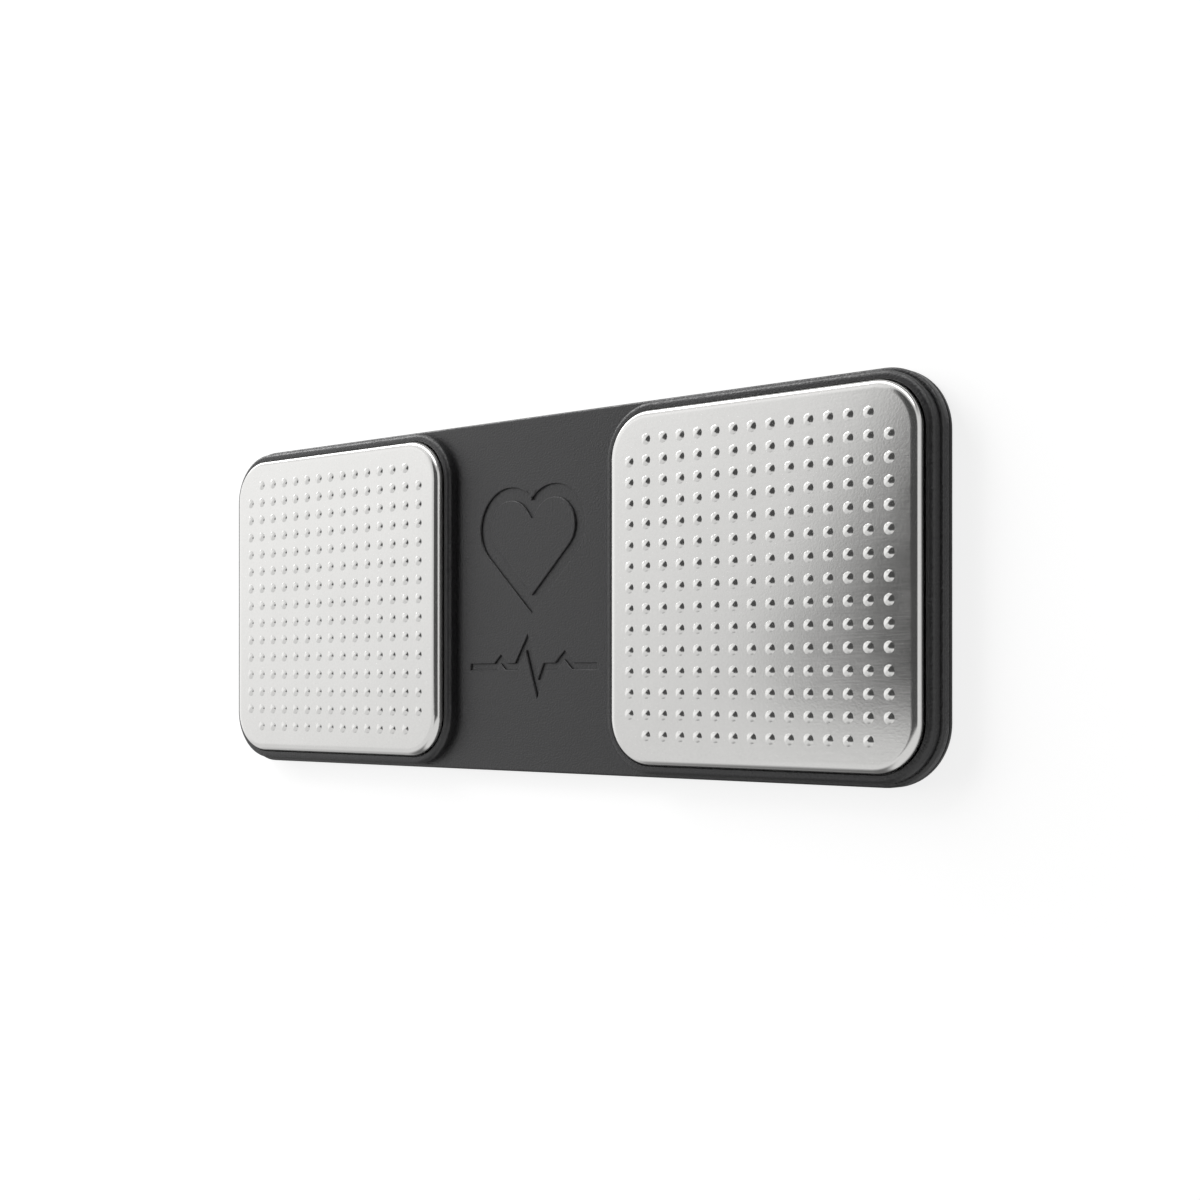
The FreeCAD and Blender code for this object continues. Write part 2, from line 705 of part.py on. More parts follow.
def coin_cell(document):
    """Lithium coin cell, its can against the door and its cap towards the electrodes."""
    wall = named("cell_can_wall")
    inside = CELL_RADIUS - wall
    cap_radius = inside - named("cell_seal_width")
    can_floor = DOOR_INNER_FACE + wall

    can = new_body(document, "cell_can", -PAD_X)
    disc(can, "can", CELL_RADIUS, DOOR_INNER_FACE, CAN_FRONT)
    hollow = face_sketch(can, "hollow_outline", CAN_FRONT)
    circle(hollow, inside)
    cut(can, hollow, "hollow", CAN_FRONT - can_floor)

    gasket = new_body(document, "cell_gasket", -PAD_X)
    ring(gasket, "gasket", inside, cap_radius, can_floor, CAN_FRONT + named("cell_seal_height"))

    cap = new_body(document, "cell_cap", -PAD_X)
    disc(cap, "cap", cap_radius, can_floor, CELL_FRONT)
    return [can, gasket, cap]


def build(document):
    """Make every piece of the recorder."""
    make_sheet(document)
    nodes = [front_housing(document), rear_housing(document), bond_gasket(document)]
    nodes += electrodes(document)
    for label, side in (("left", -1), ("right", 1)):
        nodes.append(electrode_adhesive(document, f"electrode_adhesive_{label}", side))
        x = (PAD_X - SPRING_OFFSET) * side
        nodes.append(leaf_spring(document, f"electrode_spring_{label}", x, SPRING_OFFSET,
                                 PAD_INNER_FACE))
    nodes.append(circuit_board(document))
    nodes += board_components(document)
    nodes += piezo_transmitter(document)
    nodes += [negative_contact(document), positive_contact(document)]
    nodes += [door_seal(document), battery_door(document)]
    nodes += coin_cell(document)
    return nodes


def check(document, nodes):
    """Stop if any object failed or any piece has no valid solid."""
    for item in document.Objects:
        if "Invalid" in item.State or "Error" in item.State:
            raise RuntimeError(f"{item.Name} did not compute: {item.State}")
    for node in nodes:
        if node.Shape.isNull() or not node.Shape.isValid() or not node.Shape.Solids:
            raise RuntimeError(f"{node.Label} has no valid solid")


def export(nodes):
    """Write one STEP file for each piece."""
    os.makedirs("parts", exist_ok=True)
    for node in nodes:
        node.Shape.exportStep(f"parts/{node.Label}.step")
        print(f"{node.Label}: {len(node.Shape.Solids)} solid(s), {node.Shape.Volume:.2f} mm3")


def main():
    document = FreeCAD.newDocument("ecg_recorder")
    nodes = build(document)
    document.recompute()
    check(document, nodes)
    export(nodes)


main()
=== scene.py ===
"""Looks of a thin two-electrode ECG recorder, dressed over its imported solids."""
import logging
import math
from collections import defaultdict
from collections.abc import Callable, Iterator, Mapping, Sequence
from contextlib import contextmanager
from dataclasses import dataclass
from enum import Enum
from functools import cache

import bpy
from mathutils import Matrix, Vector


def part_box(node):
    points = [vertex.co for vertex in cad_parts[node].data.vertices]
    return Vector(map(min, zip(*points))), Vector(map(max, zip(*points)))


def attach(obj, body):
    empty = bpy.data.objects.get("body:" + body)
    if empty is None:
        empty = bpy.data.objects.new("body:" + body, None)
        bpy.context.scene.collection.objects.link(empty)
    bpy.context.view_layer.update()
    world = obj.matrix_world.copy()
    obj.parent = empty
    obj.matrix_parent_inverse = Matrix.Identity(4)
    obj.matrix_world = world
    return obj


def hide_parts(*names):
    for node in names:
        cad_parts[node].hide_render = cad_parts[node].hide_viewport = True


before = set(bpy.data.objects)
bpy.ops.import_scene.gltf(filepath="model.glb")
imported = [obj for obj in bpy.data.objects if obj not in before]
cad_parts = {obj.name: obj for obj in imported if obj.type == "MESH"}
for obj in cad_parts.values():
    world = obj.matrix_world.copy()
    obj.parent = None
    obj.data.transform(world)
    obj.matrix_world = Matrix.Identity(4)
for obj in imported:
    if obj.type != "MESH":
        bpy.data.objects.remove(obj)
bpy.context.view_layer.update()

log = logging.getLogger("recorder")

Point = tuple[float, float]
Place = tuple[float, float, float]
Colour = tuple[float, float, float, float]
Sockets = dict[str | int, object]
Test = Callable[[Vector], bool]

MM = 0.001
NEAR = 0.001  # how near a corner lies to a level, in mm, to count as on it
WELD = 0.0002  # how near corners lie to each other, in mm, to be merged
OVER = 0.5  # how far a cutting tool reaches past what it cuts, in mm
SHARP = 60.0  # the least turn of a plainly sharp edge, in degrees
BAND: Point = (0.3, 0.7)  # where most of a noise lies
EVEN: Place = (1.0, 1.0, 1.0)
WHITE: Colour = (1.0, 1.0, 1.0, 1.0)


class Body(Enum):
    """The bodies that pieces ride on."""

    HOUSING = "housing"
    DOOR = "battery_door"
    CELL = "coin_cell"


class Slot(Enum):
    """The record's material slots."""

    CASE = "case"
    ELECTRODE = "electrode_steel"
    CELL = "cell_steel"


class Element(Enum):
    """What a selection picks, as Blender's three selection switches."""

    VERTEX = (True, False, False)
    EDGE = (False, True, False)
    FACE = (False, False, True)


class Join(Enum):
    """How a tool solid changes a workpiece."""

    ADD = "UNION"
    CUT = "DIFFERENCE"


# --- modelling


def metres(place: Place) -> list[float]:
    """A place in mm, turned into metres."""
    return [value * MM for value in place]


def on(level: float) -> Test:
    """A test for corners on a level."""
    return lambda p: abs(p.z - level) < NEAR


class Workpiece:
    """A mesh that is shaped with the modelling operators; every size given to it is in mm."""

    def __init__(self, obj: bpy.types.Object) -> None:
        """Take over a mesh object that sits at the origin."""
        self.obj = obj

    @classmethod
    def adopt(cls, name: str) -> "Workpiece":
        """Name the object that an operator has just added, and put its place into its mesh.

        Args:
            name: the piece's name.

        Returns:
            The workpiece.
        """
        obj = bpy.context.object
        obj.name = name
        obj.data.name = name
        bpy.ops.object.transform_apply(location=True, rotation=True, scale=True)
        return cls(obj)

    @classmethod
    def sheet(cls, name: str, size: Point, centre: Place) -> "Workpiece":
        """A flat rectangle that faces up.

        Args:
            name: the piece's name.
            size: its two sides.
            centre: its middle.

        Returns:
            The workpiece.
        """
        bpy.ops.object.select_all(action="DESELECT")
        bpy.ops.mesh.primitive_plane_add(size=1.0, location=metres(centre))
        bpy.context.object.scale = (size[0] * MM, size[1] * MM, 1.0)
        return cls.adopt(name)

    @classmethod
    def plate(cls, name: str, size: Point, corner: float, levels: Point,
              centre: Point = (0.0, 0.0), steps: int = 20) -> "Workpiece":
        """An upright block with round corners.

        Args:
            name: the piece's name.
            size: its two sides.
            corner: the radius of its corners.
            levels: its lowest and highest level.
            centre: its middle.
            steps: the facets of each corner.

        Returns:
            The workpiece.
        """
        piece = cls.sheet(name, size, (*centre, levels[0]))
        with piece.editing():
            if corner > 0:
                bpy.ops.mesh.bevel(offset=corner * MM, segments=steps, profile=0.5,
                                   affect="VERTICES", clamp_overlap=False)
                bpy.ops.mesh.select_all(action="SELECT")
            rise = (0.0, 0.0, (levels[1] - levels[0]) * MM)
            bpy.ops.mesh.extrude_region_move(TRANSFORM_OT_translate={"value": rise})
        piece.face_outwards()
        return piece

    @classmethod
    def disc(cls, name: str, radius: float, levels: Point, centre: Point,
             steps: int = 96) -> "Workpiece":
        """An upright round block.

        Args:
            name: the piece's name.
            radius: its radius.
            levels: its lowest and highest level.
            centre: its middle.
            steps: the facets of its wall.

        Returns:
            The workpiece.
        """
        bpy.ops.object.select_all(action="DESELECT")
        middle = metres((*centre, (levels[0] + levels[1]) / 2))
        bpy.ops.mesh.primitive_cylinder_add(vertices=steps, radius=radius * MM, location=middle,
                                            depth=(levels[1] - levels[0]) * MM)
        return cls.adopt(name)

    @classmethod
    def wall(cls, name: str, path: Sequence[Point], closed: bool, width: float,
             levels: Point) -> "Workpiece":
        """An upright wall of even thickness that follows a path.

        Args:
            name: the piece's name.
            path: the corners of its middle line.
            closed: whether the last corner joins the first.
            width: its thickness.
            levels: its lowest and highest level.

        Returns:
            The workpiece.
        """
        line = bpy.data.curves.new(name, "CURVE")
        line.dimensions = "2D"
        line.fill_mode = "NONE"
        line.extrude = (levels[1] - levels[0]) / 2 * MM
        run = line.splines.new("POLY")
        run.points.add(len(path) - 1)
        for corner, (x, y) in zip(run.points, path):
            corner.co = (x * MM, y * MM, 0.0, 1.0)
        run.use_cyclic_u = closed
        obj = bpy.data.objects.new(name, line)
        bpy.context.scene.collection.objects.link(obj)
        obj.location.z = (levels[0] + levels[1]) / 2 * MM
        cls(obj).activate()
        bpy.ops.object.convert(target="MESH")
        piece = cls.adopt(name)
        piece.weld()
        piece.modify("SOLIDIFY", {"thickness": width * MM, "offset": 0.0,
                                  "use_even_offset": True})
        piece.face_outwards()
        return piece

    def activate(self) -> None:
        """Make this the only selected object, out of edit mode."""
        if bpy.context.object and bpy.context.object.mode != "OBJECT":
            bpy.ops.object.mode_set(mode="OBJECT")
        bpy.ops.object.select_all(action="DESELECT")
        bpy.context.view_layer.objects.active = self.obj
        self.obj.select_set(True)

    @contextmanager
    def editing(self) -> Iterator[None]:
        """Enter edit mode with the whole mesh selected, and leave it at the end."""
        self.activate()
        bpy.ops.object.mode_set(mode="EDIT")
        bpy.ops.mesh.select_all(action="SELECT")
        yield
        bpy.ops.object.mode_set(mode="OBJECT")

    def choose(self, element: Element, test: Test, turn: float = 0.0,
               open_only: bool = False) -> None:
        """Enter edit mode with just the elements selected whose every corner passes a test.

        Args:
            element: the kind of element.
            test: says of a corner's place in mm whether it passes.
            turn: the least angle in degrees between the two faces of an edge.
            open_only: whether to take only edges with one face.
        """
        self.activate()
        mesh = self.obj.data
        bpy.context.tool_settings.mesh_select_mode = element.value
        passed = [bool(test(vertex.co / MM)) for vertex in mesh.vertices]
        for group in (mesh.vertices, mesh.edges, mesh.polygons):
            group.foreach_set("select", [False] * len(group))
        if element is Element.VERTEX:
            mesh.vertices.foreach_set("select", passed)
        elif element is Element.FACE:
            for face in mesh.polygons:
                face.select = all(passed[index] for index in face.vertices)
        else:
            sides: dict[tuple[int, int], list[Vector]] = defaultdict(list)
            if turn or open_only:
                for face in mesh.polygons:
                    for key in face.edge_keys:
                        sides[key].append(face.normal.copy())
            limit = math.cos(math.radians(turn))
            for edge in mesh.edges:
                chosen = all(passed[index] for index in edge.vertices)
                around = sides[edge.key]
                if chosen and turn:
                    chosen = len(around) == 2 and around[0].dot(around[1]) < limit
                if chosen and open_only:
                    chosen = len(around) == 1
                edge.select = chosen
        bpy.ops.object.mode_set(mode="EDIT")

    def round_edges(self, radius: float, steps: int, test: Test, turn: float = 30.0,
                    profile: float = 0.5) -> None:
        """Round the edges that pass a test.

        Args:
            radius: the radius of the rounding.
            steps: its facets.
            test: says of a corner's place in mm whether it passes.
            turn: the least angle in degrees between the two faces of an edge.
            profile: its shape; 0.5 is a plain arc, above that it starts more gently.
        """
        self.choose(Element.EDGE, test, turn)
        bpy.ops.mesh.bevel(offset=radius * MM, segments=steps, profile=profile, affect="EDGES",
                           clamp_overlap=False)
        bpy.ops.object.mode_set(mode="OBJECT")

    def modify(self, kind: str, settings: Mapping[str, object]) -> None:
        """Add one modifier and apply it.

        Args:
            kind: the modifier's type.
            settings: its properties.
        """
        self.activate()
        modifier = self.obj.modifiers.new(kind.lower(), kind)
        for name, value in settings.items():
            setattr(modifier, name, value)
        bpy.ops.object.modifier_apply(modifier=modifier.name)

    def combine(self, tool: "Workpiece", how: Join, tangled: bool = False) -> None:
        """Add or cut another solid, which is used up and may be tangled in itself."""
        self.modify("BOOLEAN", {"operation": how.value, "solver": "EXACT", "object": tool.obj,
                                "use_self": tangled})
        bpy.data.objects.remove(tool.obj)

    def weld(self) -> None:
        """Merge corners that lie together."""
        with self.editing():
            bpy.ops.mesh.remove_doubles(threshold=WELD * MM)

    def face_outwards(self) -> None:
        """Turn every face outwards."""
        with self.editing():
            bpy.ops.mesh.normals_make_consistent(inside=False)

    def face_up(self) -> None:
        """Turn the faces of a flat sheet upwards."""
        self.face_outwards()
        if sum(face.normal.z * face.area for face in self.obj.data.polygons) < 0:
            with self.editing():
                bpy.ops.mesh.flip_normals()

    def smooth(self, angle: float = 32.0) -> None:
        """Shade smooth, but for edges that turn by more than an angle in degrees."""
        self.activate()
        bpy.ops.object.shade_smooth_by_angle(angle=math.radians(angle))
        self.modify("WEIGHTED_NORMAL", {"keep_sharp": True})

    def slide(self, way: float) -> None:
        """Move the mesh along X."""
        self.obj.data.transform(Matrix.Translation((way * MM, 0.0, 0.0)))

    def copy(self, name: str) -> "Workpiece":
        """Make another of this piece, with a mesh of its own.

        Args:
            name: the new piece's name.

        Returns:
            The new workpiece.
        """
        obj = bpy.data.objects.new(name, self.obj.data.copy())
        obj.data.name = name
        bpy.context.scene.collection.objects.link(obj)
        return Workpiece(obj)

    def mount(self, body: Body, slot: Slot, finish: "Finish", *nodes: str) -> str:
        """Dress the piece and let it stand for its nodes on a body.

        Args:
            body: the body that it rides on.
            slot: the record's material slot; not used.
            finish: its finish.
            nodes: the nodes that it stands for.

        Returns:
            The piece's name.
        """
        finish.dress(self.obj)
        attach(self.obj, body.value)
        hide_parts(*nodes)
        return self.obj.name


# --- shader graph


class Wire:
    """One shader value. Arithmetic on it adds Math nodes."""

    def __init__(self, graph: "Graph", socket: bpy.types.NodeSocket | None) -> None:
        """Wrap an output socket of a graph."""
        self.graph = graph
        self.socket = socket

    def __add__(self, other: "Wire | float") -> "Wire":
        """This plus another."""
        return self.graph.math("ADD", self, other)

    __radd__ = __add__

    def __sub__(self, other: "Wire | float") -> "Wire":
        """This minus another."""
        return self.graph.math("SUBTRACT", self, other)

    def __rsub__(self, other: "Wire | float") -> "Wire":
        """Another minus this."""
        return self.graph.math("SUBTRACT", other, self)

    def __mul__(self, other: "Wire | float") -> "Wire":
        """This times another."""
        return self.graph.math("MULTIPLY", self, other)

    __rmul__ = __mul__

    def __truediv__(self, other: "Wire | float") -> "Wire":
        """This over another."""
        return self.graph.math("DIVIDE", self, other)

    def __rtruediv__(self, other: "Wire | float") -> "Wire":
        """Another over this."""
        return self.graph.math("DIVIDE", other, self)

    def __abs__(self) -> "Wire":
        """This without its sign."""
        return self.graph.math("ABSOLUTE", self)

    def at_least(self, limit: "Wire | float") -> "Wire":
        """This, or the limit where this is lower."""
        return self.graph.math("MAXIMUM", self, limit)

    def at_most(self, limit: "Wire | float") -> "Wire":
        """This, or the limit where this is higher."""
        return self.graph.math("MINIMUM", self, limit)

    def mapped(self, source: Point, target: Point = (0.0, 1.0), soft: bool = False) -> "Wire":
        """Map this from one range to another, and hold it there.

        Args:
            source: the range that it comes from.
            target: the range that it goes to.
            soft: whether it eases in and out.

        Returns:
            The mapped value.
        """
        return self.graph.node(
            "ShaderNodeMapRange", {"interpolation_type": "SMOOTHSTEP" if soft else "LINEAR"},
            {"Value": self, "From Min": source[0], "From Max": source[1],
             "To Min": target[0], "To Max": target[1]})

    def above(self, limit: float, soft: float) -> "Wire":
        """A step at a limit, soft over a width: 0 well below it, 1 well above it."""
        return self.mapped((limit - soft / 2, limit + soft / 2), soft=True)

    def below(self, limit: float, soft: float) -> "Wire":
        """A step at a limit, soft over a width: 1 well below it, 0 well above it."""
        return 1 - self.above(limit, soft)


class Graph:
    """The node tree of one material or world, started afresh."""

    def __init__(self, tree: bpy.types.NodeTree) -> None:
        """Clear a node tree and take it over."""
        self.tree = tree
        self.tree.nodes.clear()

    def node(self, kind: str, settings: Mapping[str, object] | None = None,
             sockets: Mapping[str | int, object] | None = None,
             output: str | int = 0) -> Wire:
        """Add one node.

        Args:
            kind: the node's type.
            settings: its properties, which are set first.
            sockets: values or wires for its inputs.
            output: which of its outputs is returned.

        Returns:
            The output, which is empty for a node that has none.
        """
        made = self.tree.nodes.new(kind)
        for name, value in (settings or {}).items():
            setattr(made, name, value)
        for name, value in (sockets or {}).items():
            if isinstance(value, Wire):
                self.tree.links.new(value.socket, made.inputs[name])
            else:
                made.inputs[name].default_value = value
        return Wire(self, made.outputs[output] if len(made.outputs) else None)

    def outputs(self, wire: Wire, *names: str) -> tuple[Wire, ...]:
        """Named outputs of the node that a wire comes from."""
        found = wire.socket.node.outputs
        return tuple(Wire(self, found[name]) for name in names)

    def math(self, operation: str, first: Wire | float, second: Wire | float = 0.0) -> Wire:
        """Add a Math node."""
        return self.node("ShaderNodeMath", {"operation": operation}, {0: first, 1: second})

    def slant(self, across: Wire, along: Wire) -> Wire:
        """The long side of a right triangle, from its two others."""
        return self.math("SQRT", across * across + along * along)

    def place(self, stretch: Place = EVEN) -> Wire:
        """The place on the object in mm, times a factor along each axis.

        Args:
            stretch: the factors; below 1 draws a pattern out.

        Returns:
            The coordinates.
        """
        spot = self.node("ShaderNodeTexCoord", output="Object")
        factors = tuple(factor / MM for factor in stretch)
        return self.node("ShaderNodeVectorMath", {"operation": "MULTIPLY"},
                         {0: spot, 1: factors})

    def axes(self, vector: Wire) -> tuple[Wire, ...]:
        """The three parts of a vector."""
        parts = self.node("ShaderNodeSeparateXYZ", None, {0: vector})
        return self.outputs(parts, "X", "Y", "Z")

    def noise(self, grain: float, detail: float = 2.0, stretch: Place = EVEN) -> Wire:
        """Even noise between 0 and 1, with the size of its spots in mm and its finer layers."""
        return self.node("ShaderNodeTexNoise", None,
                         {"Vector": self.place(stretch), "Scale": 1.0 / grain,
                          "Detail": detail}, "Fac")

    def blend(self, factor: Wire, first: Wire | Colour, second: Wire | Colour) -> Wire:
        """Mix two colours."""
        return self.node("ShaderNodeMix", {"data_type": "RGBA"},
                         {0: factor, 6: first, 7: second}, 2)

    def bump(self, height: Wire, strength: float, depth: float) -> Wire:
        """Turn a height from 0 to 1, with its depth in mm, into a normal."""
        return self.node("ShaderNodeBump", None,
                         {"Height": height, "Strength": strength, "Distance": depth * MM})

    def glow(self, level: float) -> Wire:
        """A surface that glows white."""
        return self.node("ShaderNodeEmission", None, {"Strength": level})

    def merge(self, factor: Wire | float, first: Wire, second: Wire) -> Wire:
        """Mix two surfaces."""
        return self.node("ShaderNodeMixShader", None, {0: factor, 1: first, 2: second})


def begin_material(name: str) -> tuple[bpy.types.Material, Graph]:
    """Start a material, with its empty graph."""
    made = bpy.data.materials.new(name)
    made.use_nodes = True
    return made, Graph(made.node_tree)


def shade(colour: Colour, factor: float) -> Colour:
    """A lighter or darker tone of a colour."""
    return (*(min(1.0, part * factor) for part in colour[:3]), 1.0)


# --- finishes


@dataclass(frozen=True)
class Finish:
    """A name, a colour with its two end tones, and a roughness range; lengths are in mm."""

    name: str
    colour: Colour
    tones: Point = (0.85, 1.15)
    roughness: Point = (0.32, 0.5)

    def sockets(self, graph: Graph) -> Sockets:
        """The sockets of the surface shader.

        Args:
            graph: the material's nodes.

        Returns:
            Values and wires by socket name.
        """
        raise NotImplementedError

    def toned(self, graph: Graph, factor: Wire) -> Wire:
        """The colour, from its darkest tone at 0 to its lightest at 1."""
        return graph.blend(factor, *(shade(self.colour, tone) for tone in self.tones))

    @cache
    def make(self) -> bpy.types.Material:
        """Build the material, the first time it is asked for.

        Returns:
            The material.
        """
        made, graph = begin_material(self.name)
        surface = graph.node("ShaderNodeBsdfPrincipled", None, self.sockets(graph))
        graph.node("ShaderNodeOutputMaterial", None, {"Surface": surface})
        made.diffuse_color = self.colour
        return made

    def dress(self, obj: bpy.types.Object) -> None:
        """Give an object this finish in all its slots.

        Args:
            obj: the object.
        """
        made = self.make()
        if not obj.material_slots:
            obj.data.materials.append(made)
        for slot in obj.material_slots:
            slot.material = made


@dataclass(frozen=True)
class MouldedPlastic(Finish):
    """Fine-grained matt moulding."""

    tones: Point = (0.82, 1.18)
    roughness: Point = (0.34, 0.46)
    grain: float = 0.17
    cloud: float = 7.0
    depth: float = 0.042
    index: float = 1.72

    def sockets(self, graph: Graph) -> Sockets:
        """Spark-eroded grain with a faint cloud in its tone.

        Args:
            graph: the material's nodes.

        Returns:
            Values and wires by socket name.
        """
        grain = graph.noise(self.grain, 1.0)
        cloud = graph.noise(self.cloud)
        return {
            "Base Color": self.toned(graph, (grain * 0.7 + cloud * 0.3).mapped(BAND)),
            "Roughness": grain.mapped(BAND, self.roughness),
            "Normal": graph.bump(grain, 1.0, self.depth),
            "IOR": self.index,
        }


@dataclass(frozen=True)
class SatinMetal(Finish):
    """Rolled and lightly brushed sheet metal."""

    tones: Point = (0.965, 1.03)
    roughness: Point = (0.12, 0.19)
    grain: float = 0.18
    smudge: float = 5.0
    depth: float = 0.006
    lines: float = 0.03

    def sockets(self, graph: Graph) -> Sockets:
        """Rolling lines, a fine grain and the wide soft marks of handling.

        Args:
            graph: the material's nodes.

        Returns:
            Values and wires by socket name.
        """
        grain = graph.noise(self.grain, 1.0)
        smudge = graph.noise(self.smudge, 3.0)
        rolled = graph.noise(0.12, stretch=(0.05, 1.0, 1.0))
        crossed = graph.noise(0.2, stretch=(1.0, 0.06, 1.0))
        lines = rolled * self.lines + crossed * (self.lines * 0.4)
        return {
            "Base Color": self.toned(graph, (smudge * 0.5 + grain * 0.5).mapped(BAND)),
            "Metallic": 1.0,
            "Roughness": (smudge * 0.6 + rolled * 0.4).mapped((0.35, 0.65), self.roughness),
            "Normal": graph.bump(grain * 0.6 + lines, 0.5, self.depth),
        }


@dataclass(frozen=True)
class PlatedStrip(Finish):
    """Bright plated spring strip or plain metal can."""

    tones: Point = (0.88, 1.08)
    roughness: Point = (0.17, 0.3)
    cloud: float = 0.8
    line: float = 0.06
    depth: float = 0.001

    def sockets(self, graph: Graph) -> Sockets:
        """Drawing lines along the strip and a slight cloud in the plating.

        Args:
            graph: the material's nodes.

        Returns:
            Values and wires by socket name.
        """
        cloud = graph.noise(self.cloud, 3.0)
        drawn = graph.noise(self.line, stretch=(0.1, 1.0, 1.0))
        return {
            "Base Color": self.toned(graph, cloud),
            "Metallic": 1.0,
            "Roughness": cloud.mapped(BAND, self.roughness),
            "Normal": graph.bump(drawn, 0.35, self.depth),
        }


@dataclass(frozen=True)
class SoftFilm(Finish):
    """Adhesive film, seal rubber or nylon: a matt skin with fine pores."""

    tones: Point = (0.86, 1.1)
    pore: float = 0.1
    cloud: float = 3.0
    depth: float = 0.006

    def sockets(self, graph: Graph) -> Sockets:
        """Fine pores and a slow change of tone.

        Args:
            graph: the material's nodes.

        Returns:
            Values and wires by socket name.
        """
        pores = graph.noise(self.pore, 3.0)
        return {
            "Base Color": self.toned(graph, graph.noise(self.cloud)),
            "Roughness": pores.mapped(BAND, self.roughness),
            "Normal": graph.bump(pores, 0.4, self.depth),
        }


@dataclass(frozen=True)
class BoardLaminate(Finish):
    """Green solder mask over copper tracks, with bare gold rings."""

    roughness: Point = (0.26, 0.4)
    track: Colour = (0.035, 0.2, 0.085, 1.0)
    gold: Colour = (0.75, 0.55, 0.2, 1.0)
    net: float = 0.42
    lanes: float = 3.2
    lane: float = 0.14
    pitch: Point = (4.1, 3.3)
    ring: Point = (0.16, 0.34)
    edge: float = 0.03
    weave: float = 0.3
    depth: float = 0.02

    def sockets(self, graph: Graph) -> Sockets:
        """Square tracks, plated holes and the weave under the mask.

        Args:
            graph: the material's nodes.

        Returns:
            Values and wires by socket name.
        """
        spot = graph.place()
        cells = graph.node("ShaderNodeTexVoronoi", {"feature": "F1", "distance": "MANHATTAN"},
                           {"Vector": spot, "Scale": self.net, "Randomness": 0.75}, "Distance")
        off_lane = abs(graph.math("FRACT", cells * self.lanes) - 0.5)
        tracks = off_lane.below(self.lane, self.edge * 2)
        reach = graph.slant(*((graph.math("FRACT", part / pitch) - 0.5) * pitch
                              for part, pitch in zip(graph.axes(spot), self.pitch)))
        inner, outer = self.ring
        rings = reach.below(outer, self.edge) * reach.above(inner, self.edge)
        weave = graph.noise(self.weave)
        masked = graph.blend(tracks, self.colour, self.track)
        return {
            "Base Color": graph.blend(rings, masked, self.gold),
            "Metallic": rings,
            "Roughness": weave.mapped(BAND, self.roughness),
            "Normal": graph.bump(tracks * 0.8 + weave * 0.2 + rings, 0.5, self.depth),
        }


@dataclass(frozen=True)
class MouldedChip(Finish):
    """Black epoxy package with a round locating mark."""

    tones: Point = (0.75, 1.3)
    roughness: Point = (0.62, 0.4)
    grain: float = 0.05
    depth: float = 0.02
    mark: Point = (0.0, 0.0)
    mark_radius: float = 0.3
    mark_edge: float = 0.05
    mark_tone: float = 2.2

    def sockets(self, graph: Graph) -> Sockets:
        """Filler grain and the dimple beside the first contact.

        Args:
            graph: the material's nodes.

        Returns:
            Values and wires by socket name.
        """
        x, y, _ = graph.axes(graph.place())
        reach = graph.slant(x - self.mark[0], y - self.mark[1])
        dot = reach.below(self.mark_radius, self.mark_edge)
        grain = graph.noise(self.grain, 3.0)
        return {
            "Base Color": graph.blend(dot, self.toned(graph, grain),
                                      shade(self.colour, self.mark_tone)),
            "Roughness": (grain + dot * 0.3).mapped((0.2, 1.0), self.roughness),
            "Normal": graph.bump(grain * 0.4 - dot, 0.5, self.depth),
        }


@dataclass(frozen=True)
class ChipRow(Finish):
    """An even row of equal small chips along X: a body between two tinned ends."""

    tin: Colour = (0.72, 0.71, 0.68, 1.0)
    grain: float = 0.07
    depth: float = 0.01
    middle: float = 0.0
    spacing: float = 1.8
    body: float = 0.58
    edge: float = 0.03

    def sockets(self, graph: Graph) -> Sockets:
        """Tinned ends at each chip's two ends.

        Args:
            graph: the material's nodes.

        Returns:
            Values and wires by socket name.
        """
        x, _, _ = graph.axes(graph.place())
        phase = graph.math("FRACT", (x - self.middle) / self.spacing)
        ends = (abs(phase - 0.5) * self.spacing).above(self.body / 2, self.edge)
        grain = graph.noise(self.grain, 3.0)
        return {
            "Base Color": graph.blend(ends, self.toned(graph, grain), self.tin),
            "Metallic": ends,
            "Roughness": grain.mapped(BAND, self.roughness),
            "Normal": graph.bump(grain * 0.3 + ends * 0.7, 0.5, self.depth),
        }


@dataclass(frozen=True)
class SilveredCeramic(Finish):
    """White ceramic with a fired silver electrode."""

    tones: Point = (0.85, 1.0)
    roughness: Point = (0.35, 0.6)
    cloud: float = 1.4
    depth: float = 0.004
    flakes: float = 9.0
    silver: Point = (0.25, 0.6)

    def sockets(self, graph: Graph) -> Sockets:
        """Crystalline silver with thin places.

        Args:
            graph: the material's nodes.

        Returns:
            Values and wires by socket name.
        """
        flakes = graph.node("ShaderNodeTexVoronoi", None,
                            {"Vector": graph.place(), "Scale": self.flakes}, "Distance")
        cloud = graph.noise(self.cloud, 4.0)
        return {
            "Base Color": self.toned(graph, cloud),
            "Metallic": cloud.mapped((0.35, 0.6), self.silver),
            "Roughness": flakes.mapped((0.0, 0.6), self.roughness),
            "Normal": graph.bump(flakes, 0.3, self.depth),
        }


